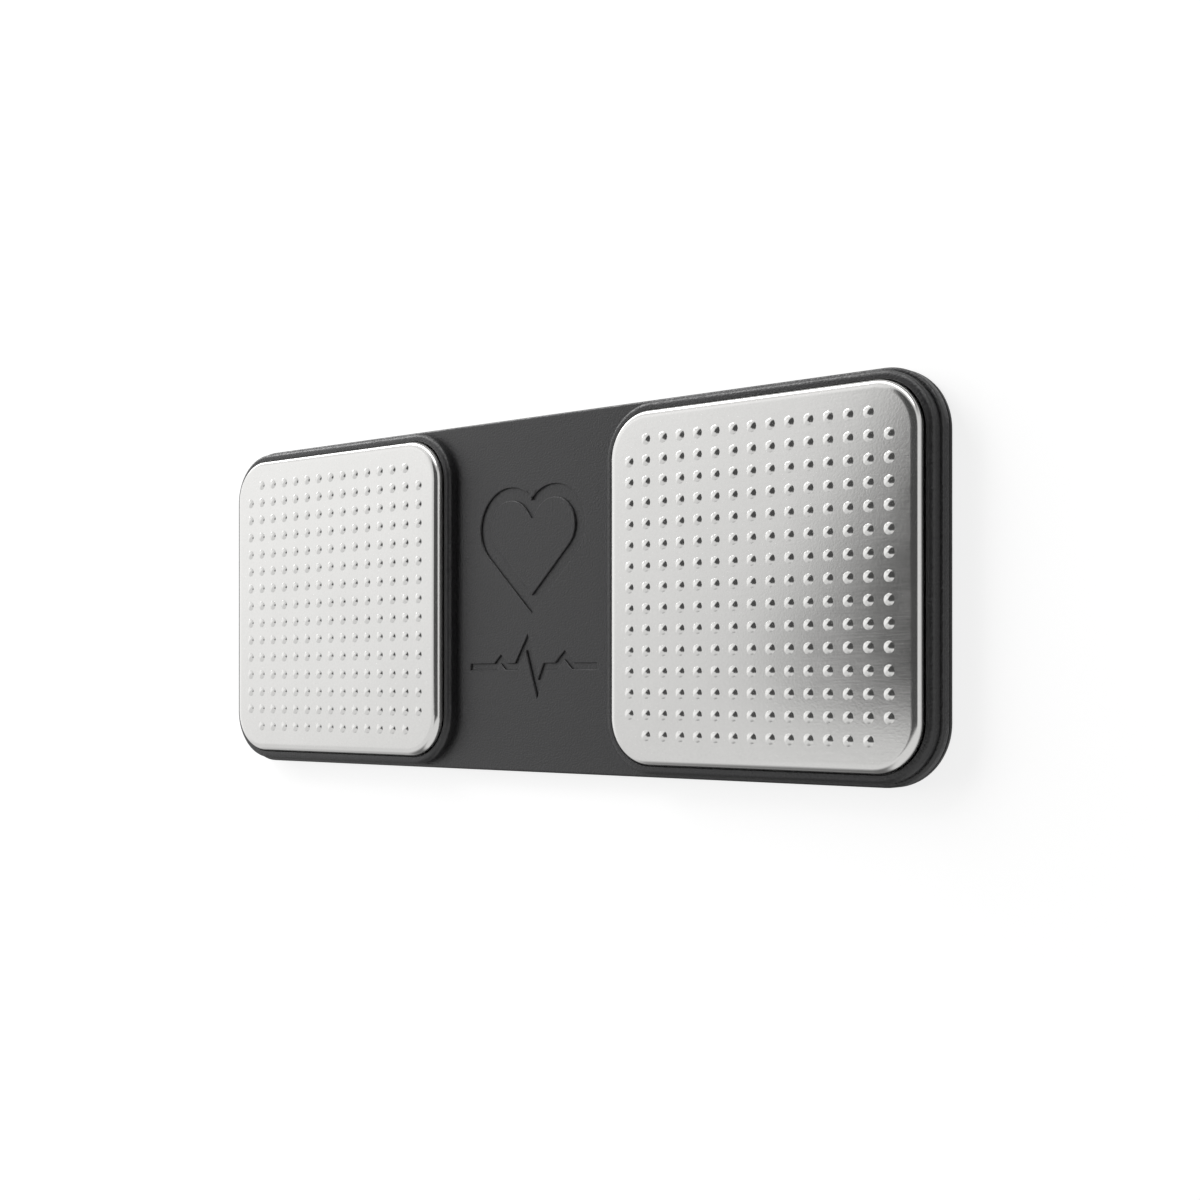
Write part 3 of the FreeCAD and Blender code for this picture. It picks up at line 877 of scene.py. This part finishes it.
class Palette:
    """The finishes of the whole recorder."""

    case = MouldedPlastic("moulded_case", (0.011, 0.0108, 0.0118, 1.0))
    electrode = SatinMetal("pressed_steel", (0.87, 0.865, 0.85, 1.0))
    cell = SatinMetal("cell_sheet", (0.66, 0.66, 0.65, 1.0), roughness=(0.27, 0.34), lines=0.1)
    adhesive = SoftFilm("acrylic_film", (0.74, 0.72, 0.62, 1.0), roughness=(0.37, 0.55))
    bond = SoftFilm("bond_line", (0.02, 0.02, 0.021, 1.0), roughness=(0.47, 0.65))
    seal = SoftFilm("seal_skin", (0.028, 0.028, 0.031, 1.0), roughness=(0.57, 0.75))
    nylon = SoftFilm("nylon_ring", (0.09, 0.09, 0.095, 1.0), roughness=(0.42, 0.6))
    gold = PlatedStrip("gold_strip", (0.86, 0.62, 0.27, 1.0))
    brass = PlatedStrip("brass_sheet", (0.72, 0.52, 0.22, 1.0), roughness=(0.27, 0.4))
    crystal = PlatedStrip("crystal_shell", (0.72, 0.72, 0.7, 1.0), roughness=(0.21, 0.34))
    board = BoardLaminate("board_laminate", (0.015, 0.11, 0.045, 1.0))
    ceramic = SilveredCeramic("silvered_ceramic", (0.82, 0.81, 0.78, 1.0))


# --- the recorder


@dataclass(frozen=True)
class CaseSizes:
    """Sizes in mm that several pieces share."""

    length: float = 82.0
    width: float = 32.0
    corner: float = 5.0
    pad_x: float = 25.08
    cavity: float = 27.4
    cavity_corner: float = 2.9
    plate_front: float = 0.6

    @property
    def pads(self) -> tuple[float, float]:
        """The two pad centres along X."""
        return (-self.pad_x, self.pad_x)

    @property
    def cavity_length(self) -> float:
        """The inner length of the case."""
        return self.cavity + 2 * self.pad_x


@dataclass
class FrontShell:
    """Front shell: a slab, two plateaus with a groove and an island, and two sunk marks."""

    sizes: CaseSizes
    rear: float = 0.7
    root: float = 0.3
    slab_front: float = 1.67
    slab_round: float = 0.25
    seam_round: float = 0.06
    plateau: float = 31.35
    plateau_corner: float = 4.8
    plateau_rear: float = 1.1
    plateau_front: float = 2.70
    plateau_round: float = 0.45
    lip: float = 29.95
    lip_corner: float = 4.1
    lip_round: float = 0.1
    groove_floor: float = 2.25
    island: float = 28.6
    island_corner: float = 3.5
    island_front: float = 3.0
    pad_ceiling: float = 2.5
    middle_ceiling: float = 1.17
    middle_gap: float = 0.02
    window: float = 2.0
    window_offset: float = 11.2
    mark_depth: float = 0.2
    mark_round: float = 0.1
    mark_reach: float = 9.0
    heart_line: float = 1.15
    beat_line: float = 0.55

    def build(self) -> list[str]:
        """Model and dress the shell.

        Returns:
            The names of its pieces.
        """
        shell = self._slab()
        self._raise_plateaus(shell)
        self._hollow(shell)
        shell.face_outwards()
        shell.smooth()
        return [shell.mount(Body.HOUSING, Slot.CASE, Palette.case, "front_housing")]

    def _slab(self) -> Workpiece:
        """Make the slab, with a plain heart outline and a heartbeat line sunk into it.

        Returns:
            The solid slab.
        """
        slab = Workpiece.plate("front_shell", (self.sizes.length, self.sizes.width),
                               self.sizes.corner, (self.rear, self.slab_front))
        levels = (self.slab_front - self.mark_depth, self.slab_front + OVER)
        for mark in (Workpiece.wall("heart", self._heart(), True, self.heart_line, levels),
                     Workpiece.wall("beat", self._beat(), False, self.beat_line, levels)):
            slab.combine(mark, Join.CUT, tangled=True)
        top, reach = on(self.slab_front), self.mark_reach
        slab.round_edges(self.mark_round, 3, lambda p: top(p) and abs(p.x) < reach, SHARP)
        slab.round_edges(self.slab_round, 5, lambda p: top(p) and abs(p.x) > reach, SHARP)
        slab.round_edges(self.seam_round, 2, on(self.rear), SHARP)
        return slab

    def _raise_plateaus(self, shell: Workpiece) -> None:
        """Add the plateaus with their grooves and islands.

        Args:
            shell: the solid slab.
        """
        top, inside = on(self.plateau_front), self.lip / 2 + NEAR
        for x in self.sizes.pads:
            plateau = self._square("plateau", self.plateau, self.plateau_corner, x,
                                   (self.plateau_rear, self.plateau_front))
            plateau.round_edges(self.plateau_round, 5, top)
            seat = self._square("seat", self.lip, self.lip_corner, x,
                                (self.groove_floor, self.plateau_front + 2 * OVER))
            plateau.combine(seat, Join.CUT)
            plateau.round_edges(self.lip_round, 4, lambda p: top(p)
                                and max(abs(p.x - x), abs(p.y)) < inside)
            island = self._square("island", self.island, self.island_corner, x,
                                  (self.groove_floor - self.root, self.island_front))
            plateau.combine(island, Join.ADD)
            shell.combine(plateau, Join.ADD)

    def _hollow(self, shell: Workpiece) -> None:
        """Hollow the shell from behind.

        Args:
            shell: the solid shell.
        """
        s = self.sizes
        below = self.rear - OVER
        for side, x in zip((-1, 1), s.pads):
            room = self._square("pad_room", s.cavity, s.cavity_corner, x,
                                (below, self.pad_ceiling), 8)
            shell.combine(room, Join.CUT)
            window = Workpiece.plate("window", (self.window, self.window), 0.0,
                                     (self.pad_ceiling - self.root, self.island_front + OVER),
                                     (x - side * self.window_offset, self.window_offset))
            shell.combine(window, Join.CUT)
        size = (s.cavity_length - self.middle_gap, s.cavity - self.middle_gap)
        middle = Workpiece.plate("middle_room", size, s.cavity_corner,
                                 (below, self.middle_ceiling), steps=8)
        shell.combine(middle, Join.CUT)

    @staticmethod
    def _square(name: str, side: float, corner: float, x: float, levels: Point,
                steps: int = 20) -> Workpiece:
        """A square block with round corners, on the middle line of the case."""
        return Workpiece.plate(name, (side, side), corner, levels, (x, 0.0), steps)

    @staticmethod
    def _heart(lobe: float = 3.1, spread: float = 2.62, level: float = 6.1,
               steps: int = 24) -> list[Point]:
        """The middle line of a heart: two arcs and two straight sides.

        Args:
            lobe: the radius of its arcs.
            spread: how far their centres lie from the middle.
            level: how high their centres lie.
            steps: the facets of each arc.

        Returns:
            The corners of the line.
        """
        dip = math.acos(spread / lobe)
        turns = [dip + (1.25 * math.pi - dip) * step / steps for step in range(steps + 1)]
        left = [(-spread + lobe * math.cos(turn), level + lobe * math.sin(turn))
                for turn in turns]
        tip = (0.0, left[-1][1] + left[-1][0])
        right = [(-x, y) for x, y in reversed(left)]
        return left + [tip] + right[:-1]

    @staticmethod
    def _beat() -> list[Point]:
        """The middle line of one heartbeat."""
        return [(-7.6, -6.5), (-4.5, -6.5), (-3.8, -5.8), (-3.1, -6.5), (-1.9, -6.5),
                (-0.6, -4.3), (0.7, -8.5), (1.6, -6.5), (2.9, -6.5), (3.9, -5.5),
                (4.9, -6.5), (7.6, -6.5)]


@dataclass
class RearShell:
    """Rear shell: the back plate with its rib, battery collar, opening and nail scoop."""

    sizes: CaseSizes
    root: float = 0.2
    back_round: float = 0.38
    front_round: float = 0.05
    rib: float = 0.6
    rib_gap: float = 0.1
    rib_height: float = 0.4
    bay: float = 10.3
    bay_top: float = 4.0
    opening: float = 11.3
    opening_round: float = 0.07
    collar: float = 11.8
    collar_front: float = 2.4
    slot: Point = (3.0, 3.2)
    slot_reach: float = 11.4
    slot_floor: float = 0.95
    slot_angle: float = 30.0
    scoop: float = 2.4
    scoop_depth: float = 0.35
    scoop_facets: int = 96

    def build(self) -> list[str]:
        """Model and dress the shell.

        Returns:
            The names of its pieces.
        """
        s = self.sizes
        x = -s.pad_x
        shell = Workpiece.plate("rear_shell", (s.length, s.width), s.corner,
                                (0.0, s.plate_front))
        shell.round_edges(self.back_round, 6, on(0.0))
        shell.round_edges(self.front_round, 2, on(s.plate_front))
        shell.combine(self._rib_ring(), Join.ADD)
        for name, radius, levels, how in (
                ("collar", self.collar, (s.plate_front - self.root, self.collar_front), Join.ADD),
                ("bay", self.bay, (-2 * OVER, self.bay_top), Join.CUT),
                ("opening", self.opening, (-2 * OVER, s.plate_front), Join.CUT)):
            shell.combine(Workpiece.disc(name, radius, levels, (x, 0.0)), how)
        shell.combine(self._dish(x + self.opening), Join.CUT)
        back, reach = on(0.0), self.opening + self.scoop + OVER
        shell.round_edges(self.opening_round, 2,
                          lambda p: back(p) and math.hypot(p.x - x, p.y) < reach, SHARP)
        for angle in (-self.slot_angle, self.slot_angle):
            shell.combine(self._slot(x, math.radians(angle)), Join.CUT)
        shell.face_outwards()
        shell.smooth()
        return [shell.mount(Body.HOUSING, Slot.CASE, Palette.case, "rear_housing")]

    def _rib_ring(self) -> Workpiece:
        """The rib that locates the front shell.

        Returns:
            The ring.
        """
        s = self.sizes
        levels = (s.plate_front - self.root, s.plate_front + self.rib_height)
        rings = []
        for inset in (self.rib_gap, self.rib_gap + self.rib):
            size = (s.cavity_length - 2 * inset, s.cavity - 2 * inset)
            rings.append(Workpiece.plate("rib", size, s.cavity_corner - inset, levels, steps=8))
            levels = (levels[0] - OVER, levels[1] + OVER)
        rings[0].combine(rings[1], Join.CUT)
        return rings[0]

    def _dish(self, x: float) -> Workpiece:
        """The ball that hollows the nail scoop.

        Args:
            x: where its middle lies.

        Returns:
            The ball.
        """
        ball = (self.scoop ** 2 + self.scoop_depth ** 2) / (2 * self.scoop_depth)
        bpy.ops.object.select_all(action="DESELECT")
        bpy.ops.mesh.primitive_uv_sphere_add(
            segments=self.scoop_facets, ring_count=self.scoop_facets, radius=ball * MM,
            location=metres((x, 0.0, self.scoop_depth - ball)))
        return Workpiece.adopt("dish")

    def _slot(self, x: float, angle: float) -> Workpiece:
        """The block that cuts one contact slot through the collar.

        Args:
            x: the middle of the bay.
            angle: the slot's direction.

        Returns:
            The block.
        """
        block = Workpiece.plate("slot", self.slot, 0.0,
                                (self.slot_floor, self.collar_front + 2 * OVER),
                                (self.slot_reach, 0.0))
        block.obj.data.transform(Matrix.Translation((x * MM, 0.0, 0.0))
                                 @ Matrix.Rotation(angle, 4, "Z"))
        return block


@dataclass
class ElectrodePair:
    """Two pressed steel pans with a square field of dimples."""

    sizes: CaseSizes
    width: float = 29.54
    depth: float = 29.78
    shift: float = 0.12
    corner: float = 4.0
    face: float = 3.5
    skirt_end: float = 2.3
    rim: float = 0.72
    rim_profile: float = 0.55
    ledge: float = 0.06
    sheet: float = 0.4
    pitch: float = 1.77
    per_side: int = 15
    dimple: float = 0.53
    dimple_facets: int = 12
    presses: tuple[Point, ...] = ((0.05, 0.0), (0.1, 0.06), (0.18, 0.066))
    crown: float = 0.024
    crease: float = 25.0

    def build(self) -> list[str]:
        """Model the left pan, copy it to the right, and dress both.

        Returns:
            The names of its pieces.
        """
        left = self._blank()
        field = self._field()
        left.activate()
        field.obj.select_set(True)
        bpy.ops.object.join()
        left.choose(Element.EDGE, on(self.face), open_only=True)
        bpy.ops.mesh.fill(use_beauty=True)
        left.weld()
        left.face_outwards()
        left.modify("SOLIDIFY", {"thickness": self.sheet * MM, "offset": -1.0,
                                 "use_even_offset": True})
        left.slide(-self.sizes.pad_x)
        left.smooth(self.crease)
        right = left.copy("electrode_pan_right")
        right.slide(2 * self.sizes.pad_x)
        return [pan.mount(Body.HOUSING, Slot.ELECTRODE, Palette.electrode, f"electrode_{side}")
                for pan, side in ((left, "left"), (right, "right"))]

    def _blank(self) -> Workpiece:
        """The pan's rim and skirt, open on top and below.

        Returns:
            The blank, about the middle.
        """
        top = on(self.face)
        blank = Workpiece.plate("electrode_pan_left", (self.width, self.depth), self.corner,
                                (self.skirt_end, self.face))
        blank.slide(self.shift)
        blank.round_edges(self.rim, 12, top, profile=self.rim_profile)
        blank.choose(Element.FACE, top)
        bpy.ops.mesh.inset(thickness=self.ledge * MM, depth=0.0)
        bpy.ops.mesh.delete(type="FACE")
        blank.choose(Element.FACE, on(self.skirt_end))
        bpy.ops.mesh.delete(type="FACE")
        bpy.ops.object.mode_set(mode="OBJECT")
        return blank

    def _field(self) -> Workpiece:
        """The square field of dimples, with its corner places left open.

        Returns:
            The field, about the middle.
        """
        first = -self.pitch * (self.per_side - 1) / 2
        spot = (first, first, self.face)

        def within(radius: float) -> Test:
            """A test for corners close to the first dimple's middle."""
            return lambda p: math.hypot(p.x - first, p.y - first) < radius

        tile = Workpiece.sheet("dimple_tile", (self.pitch, self.pitch), spot)
        with tile.editing():
            bpy.ops.mesh.subdivide(number_cuts=2)
        tile.choose(Element.VERTEX, within(self.pitch * 0.4))
        bpy.ops.mesh.delete(type="VERT")
        bpy.ops.mesh.primitive_circle_add(vertices=self.dimple_facets, radius=self.dimple * MM,
                                          fill_type="NOTHING", location=metres(spot))
        bpy.ops.mesh.select_all(action="SELECT")
        bpy.ops.mesh.bridge_edge_loops()
        tile.choose(Element.VERTEX, within(self.dimple + NEAR))
        bpy.ops.mesh.edge_face_add()
        tile.face_up()
        tile.choose(Element.FACE, within(self.dimple + NEAR))
        for inwards, rise in self.presses:
            bpy.ops.mesh.inset(thickness=inwards * MM, depth=rise * MM)
        bpy.ops.mesh.poke(offset=self.crown * MM)
        for axis in (0, 1):
            step = [0.0, 0.0, 0.0]
            step[axis] = self.pitch * MM
            tile.modify("ARRAY", {"count": self.per_side, "use_relative_offset": False,
                                  "use_constant_offset": True, "constant_offset_displace": step,
                                  "use_merge_vertices": True, "merge_threshold": NEAR * MM})
        edge = -first - self.pitch / 2 - NEAR
        tile.choose(Element.FACE, lambda p: min(abs(p.x), abs(p.y)) > edge)
        bpy.ops.mesh.delete(type="FACE")
        bpy.ops.object.mode_set(mode="OBJECT")
        return tile


@dataclass
class BatteryDoor:
    """Round door, flush with the back."""

    sizes: CaseSizes
    radius: float = 11.1
    depth: float = 0.5
    back_round: float = 0.14
    front_round: float = 0.05
    facets: int = 128

    def build(self) -> list[str]:
        """Model and dress the door.

        Returns:
            The names of its pieces.
        """
        door = Workpiece.disc("round_door", self.radius, (0.0, self.depth),
                              (-self.sizes.pad_x, 0.0), self.facets)
        door.round_edges(self.back_round, 4, on(0.0), SHARP)
        door.round_edges(self.front_round, 2, on(self.depth), SHARP)
        door.smooth()
        return [door.mount(Body.DOOR, Slot.CASE, Palette.case, "battery_door")]


@dataclass
class CoinCell:
    """Lithium coin cell: a can with a plus sign on its flat, and a stepped cap."""

    sizes: CaseSizes
    radius: float = 10.0
    rear: float = 0.5
    rear_round: float = 0.22
    can_front: float = 1.95
    can_round: float = 0.08
    front: float = 2.1
    front_round: float = 0.16
    wall: float = 0.25
    seal: float = 0.5
    plus: Point = (4.4, 0.5)
    plus_depth: float = 0.04
    facets: int = 128

    def build(self) -> list[str]:
        """Model and dress the cell.

        Returns:
            The names of its pieces.
        """
        middle = (-self.sizes.pad_x, 0.0)
        floor, inner = self.rear + self.wall, self.radius - self.wall
        can = Workpiece.disc("cell_can_shell", self.radius, (self.rear, self.can_front),
                             middle, self.facets)
        can.round_edges(self.rear_round, 5, on(self.rear), SHARP)
        room = Workpiece.disc("room", inner, (floor, self.front + 2 * OVER), middle,
                              self.facets)
        can.combine(room, Join.CUT)
        can.round_edges(self.can_round, 3, on(self.can_front), SHARP)
        for size in (self.plus, self.plus[::-1]):
            bar = Workpiece.plate("bar", size, 0.0,
                                  (self.rear - OVER, self.rear + self.plus_depth), middle)
            can.combine(bar, Join.CUT)
        can.face_outwards()
        can.smooth()
        lid = Workpiece.disc("cell_cap_shell", inner - self.seal, (floor, self.front),
                             middle, self.facets)
        lid.round_edges(self.front_round, 4, on(self.front), SHARP)
        lid.smooth()
        return [can.mount(Body.CELL, Slot.CELL, Palette.cell, "cell_can"),
                lid.mount(Body.CELL, Slot.CELL, Palette.cell, "cell_cap")]


@dataclass
class Interior:
    """The solids that are shown as they are, each with its finish."""

    sizes: CaseSizes
    mark_inset: float = 0.7

    def build(self) -> list[str]:
        """Dress every solid that is kept.

        Returns:
            The names of its pieces.
        """
        middle = self.sizes.pad_x
        finishes: dict[str, Finish] = {
            "bond_gasket": Palette.bond,
            "door_seal": Palette.seal,
            "cell_gasket": Palette.nylon,
            "circuit_board": Palette.board,
            "timing_crystal": Palette.crystal,
            "piezo_disc": Palette.brass,
            "piezo_ceramic": Palette.ceramic,
            "chip_capacitors": ChipRow("fired_chips", (0.42, 0.28, 0.16, 1.0), middle=middle),
            "chip_resistors": ChipRow("resistor_chips", (0.03, 0.03, 0.032, 1.0),
                                      middle=middle),
        }
        for node in ("negative_contact", "positive_contact", "piezo_spring_inner",
                     "piezo_spring_outer", "electrode_spring_left", "electrode_spring_right"):
            finishes[node] = Palette.gold
        for side in ("left", "right"):
            finishes[f"electrode_adhesive_{side}"] = Palette.adhesive
        for node in ("amplifier_chip", "microcontroller_chip"):
            low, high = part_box(node)
            mark = (low.x / MM + self.mark_inset, high.y / MM - self.mark_inset)
            finishes[node] = MouldedChip(f"{node}_epoxy", (0.02, 0.02, 0.022, 1.0), mark=mark)
        for node, finish in finishes.items():
            finish.dress(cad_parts[node])
        return list(finishes)


# --- the studio


@dataclass
class Floor:
    """White sheet that keeps a soft shadow, glows less beside the case, and is clear from below."""

    sizes: CaseSizes
    side: float = 4000.0
    level: float = -0.02
    papers: tuple[Colour, Colour] = ((0.86, 0.86, 0.86, 1.0), (0.9, 0.9, 0.9, 1.0))
    fibre: float = 0.6
    glow: float = 1.346
    glow_share: float = 0.7
    near_share: float = 0.875
    near: Point = (8.0, 110.0)

    def build(self) -> list[str]:
        """Lay the floor.

        Returns:
            Its name.
        """
        floor = Workpiece.sheet("floor", (self.side, self.side), (0.0, 0.0, self.level))
        paper, graph = begin_material("floor_paper")
        fibre = graph.noise(self.fibre, 3.0)
        matt = graph.node("ShaderNodeBsdfDiffuse", None,
                          {"Color": graph.blend(fibre, *self.papers)})
        x, y, _ = graph.axes(graph.place())
        away = graph.slant((abs(x) - self.sizes.length / 2).at_least(0.0),
                           (abs(y) - self.sizes.width / 2).at_least(0.0))
        glow = graph.merge(away.mapped(self.near), graph.glow(self.glow * self.near_share),
                           graph.glow(self.glow))
        seen = graph.node("ShaderNodeLightPath", output="Is Camera Ray")
        under = graph.node("ShaderNodeNewGeometry", output="Backfacing")
        shown = graph.merge(seen * (1 - under), graph.node("ShaderNodeBsdfTransparent"),
                            graph.merge(self.glow_share, matt, glow))
        graph.node("ShaderNodeOutputMaterial", None, {"Surface": shown})
        floor.obj.data.materials.append(paper)
        return ["floor"]


@dataclass
class BlackCard:
    """Card above the recorder that only mirrored rays meet: a painted dark reflection.

    Its near edge is straight between two places along Y. Past the upper one it slants back,
    and past the lower one it steps back. Its edges are feathered: each is a limit and a width.
    """

    side: float = 420.0
    centre: Place = (110.0, 30.0, 121.5)
    tone: float = 0.07
    near_edge: float = -45.0
    straight: Point = (-11.5, -3.0)
    slant: float = 0.47
    step_slope: float = 10.0
    step: float = 40.0
    turn: float = 40.0
    feather: Point = (20.0, 7.0)
    far_edge: Point = (195.0, 60.0)
    upper_edge: Point = (130.0, 50.0)
    lower_edge: Point = (-38.0, 25.0)

    def build(self) -> list[str]:
        """Hang the card.

        Returns:
            Its name.
        """
        card = Workpiece.sheet("black_card", (self.side, self.side), self.centre)
        painted_reflection, graph = begin_material("dark_reflection_card")
        x, y, _ = graph.axes(graph.place())
        upper = (y - self.straight[1]).at_least(0.0)
        lower = (self.straight[0] - y).at_least(0.0)
        reach = x - self.near_edge - upper * self.slant
        reach = reach - (lower * self.step_slope).at_most(self.step)
        feather = (upper + lower).mapped((0.0, self.turn), self.feather)
        near = (reach / feather).mapped((-1.0, 1.0), soft=True)
        ends = x.below(*self.far_edge) * y.below(*self.upper_edge) * y.above(*self.lower_edge)
        # painted dark reflection: the card glows faintly, and only mirrored rays see it
        shown = graph.merge(near * ends, graph.node("ShaderNodeBsdfTransparent"),
                            graph.glow(self.tone))
        graph.node("ShaderNodeOutputMaterial", None, {"Surface": shown})
        card.obj.data.materials.append(painted_reflection)
        for ray in ("camera", "diffuse", "transmission", "volume_scatter", "shadow"):
            setattr(card.obj, f"visible_{ray}", False)
        return ["black_card"]


@dataclass
class Room:
    """Surroundings: an even low light, and for mirrored rays a bright room with darker zones.

    A ray's direction has three parts between -1 and 1. Each zone is a product of soft steps
    on them, and each step is a limit and a width.
    """

    fill: float = 0.2
    walls: Point = (0.7, 0.98)
    walls_shift: float = 0.09
    front_dip: float = 0.78
    front_top: Point = (-0.25, 0.45)
    front_back: Point = (-0.1, 0.3)
    front_all: Point = (-0.7, 0.4)
    front_right: Point = (-0.1, 0.3)
    behind_dip: float = 0.7
    behind_near: Point = (0.6, 0.3)
    behind_bottom: Point = (-0.35, 0.2)
    behind_top: Point = (0.1, 0.2)
    overhead_dip: float = 0.2
    overhead_near: Point = (0.45, 0.3)
    right_dip: Point = (0.42, 0.72)
    right_rise: Point = (-0.05, 0.13)
    right_top: Point = (-0.3, 0.3)
    right_left: Point = (0.1, 0.3)
    right_back: Point = (0.35, 0.3)
    window: Point = (2.2, 9.0)
    window_rise: Point = (0.4, 0.8)
    window_near: Point = (0.74, 0.2)
    window_top: Point = (0.36, 0.12)
    window_bottom: Point = (0.0, 0.1)
    rail: Point = (0.8, 5.0)
    rail_rise: Point = (0.5, 0.72)
    rail_slope: float = 0.75
    rail_near: Point = (1.1, 0.2)
    rail_top: Point = (0.1, 0.1)
    rail_bottom: Point = (-0.12, 0.15)

    def build(self) -> list[str]:
        """Light the recorder evenly, and give metal the room to mirror.

        Returns:
            The world's name.
        """
        world = bpy.data.worlds.new("surroundings")
        bpy.context.scene.world = world
        world.use_nodes = True
        world.cycles.sampling_method = "NONE"
        graph = Graph(world.node_tree)
        seen, gloss, through = graph.outputs(graph.node("ShaderNodeLightPath"), "Is Camera Ray",
                                             "Is Glossy Ray", "Is Transmission Ray")
        x, y, z = graph.axes(graph.node("ShaderNodeTexCoord", output="Generated"))
        mirrored = (self.walls_shift + y - x).mapped(self.walls, self.walls)
        for dip in self._dips(x, y, z):
            mirrored = mirrored * (1 - dip)
        for lamp in self._openings(x, y, z):
            mirrored = mirrored + lamp
        level = gloss.at_least(through)
        light = mirrored * level + (1 - level) * self.fill
        sky = graph.node("ShaderNodeBackground", None,
                         {"Color": WHITE, "Strength": light * (1 - seen) + seen})
        graph.node("ShaderNodeOutputWorld", None, {"Surface": sky})
        return ["surroundings"]

    def _dips(self, x: Wire, y: Wire, z: Wire) -> tuple[Wire, ...]:
        """The darker zones: in front and below, behind, overhead, and low on the right.

        Args:
            x: the direction's part along X.
            y: its part along Y.
            z: its part along Z.

        Returns:
            How much each takes away.
        """
        floor = z.below(*self.front_top) * y.below(*self.front_back)
        front = floor.at_least(y.below(*self.front_all)) * x.below(*self.front_right)
        height = z.above(*self.behind_bottom) - z.above(*self.behind_top)
        behind = y.above(*self.behind_near) * height
        right = z.below(*self.right_top) * x.above(*self.right_left) * y.below(*self.right_back)
        return (front * self.front_dip, behind * self.behind_dip,
                y.above(*self.overhead_near) * self.overhead_dip,
                right * y.mapped(self.right_rise, self.right_dip))

    def _openings(self, x: Wire, y: Wire, z: Wire) -> tuple[Wire, ...]:
        """A window and a low narrow rail behind, both brighter to the left.

        Args:
            x: the direction's part along X.
            y: its part along Y.
            z: its part along Z.

        Returns:
            How much each adds.
        """
        window = y.above(*self.window_near) * z.below(*self.window_top)
        window = window * (0 - x).mapped(self.window_rise, self.window)
        rail = (y - x * self.rail_slope).above(*self.rail_near) * z.below(*self.rail_top)
        rail = rail * z.above(*self.rail_bottom)
        rail = rail * (0 - x).mapped(self.rail_rise, self.rail)
        return (window * z.above(*self.window_bottom), rail)


@dataclass(frozen=True)
class Softbox:
    """Large square lamp that faces the recorder, with its place and size in metres."""

    name: str
    place: Place
    size: float
    level: float

    def build(self) -> list[str]:
        """Put the lamp up; its level is the brightness of its face.

        Returns:
            Its name.
        """
        lamp = bpy.data.lights.new(self.name, "AREA")
        lamp.shape = "SQUARE"
        lamp.size = self.size
        lamp.energy = self.level * math.pi * self.size ** 2
        obj = bpy.data.objects.new(self.name, lamp)
        obj.visible_glossy = False
        obj.location = self.place
        obj.rotation_euler = Vector(self.place).to_track_quat("Z", "Y").to_euler()
        bpy.context.scene.collection.objects.link(obj)
        return [self.name]


@dataclass
class Camera:
    """Camera that looks down on the recorder, level along Y and tilted about it."""

    place: Place = (98.527, -8.093, 111.335)
    tilt: float = 39.54
    lens: float = 49.086
    sensor: float = 36.0
    rise: float = 0.0702
    clip: Point = (0.01, 10.0)

    def build(self) -> list[str]:
        """Place the camera.

        Returns:
            Its name.
        """
        eye = bpy.data.cameras.new("camera")
        eye.lens = self.lens
        eye.sensor_width = self.sensor
        eye.shift_y = self.rise
        eye.clip_start, eye.clip_end = self.clip
        obj = bpy.data.objects.new("camera", eye)
        obj.location = metres(self.place)
        obj.rotation_euler = (0.0, math.radians(self.tilt), 0.0)
        bpy.context.scene.collection.objects.link(obj)
        bpy.context.scene.camera = obj
        return ["camera"]


def main() -> None:
    """Build the studio, then the recorder piece by piece."""
    logging.basicConfig(level=logging.INFO, format="%(name)s: %(message)s")
    bpy.context.scene.view_settings.view_transform = "Standard"
    sizes = CaseSizes()
    makers = (Floor(sizes), BlackCard(), Room(),
              Softbox("side_softbox", (-0.42, 0.10, 0.22), 0.34, 5.0),
              Softbox("top_softbox", (-0.12, 0.16, 0.12), 0.12, 9.0),
              Camera(), FrontShell(sizes), RearShell(sizes), ElectrodePair(sizes),
              BatteryDoor(sizes), CoinCell(sizes), Interior(sizes))
    for maker in makers:
        for piece in maker.build():
            log.info("%s made %s", type(maker).__name__, piece)


if __name__ == "__main__":
    main()
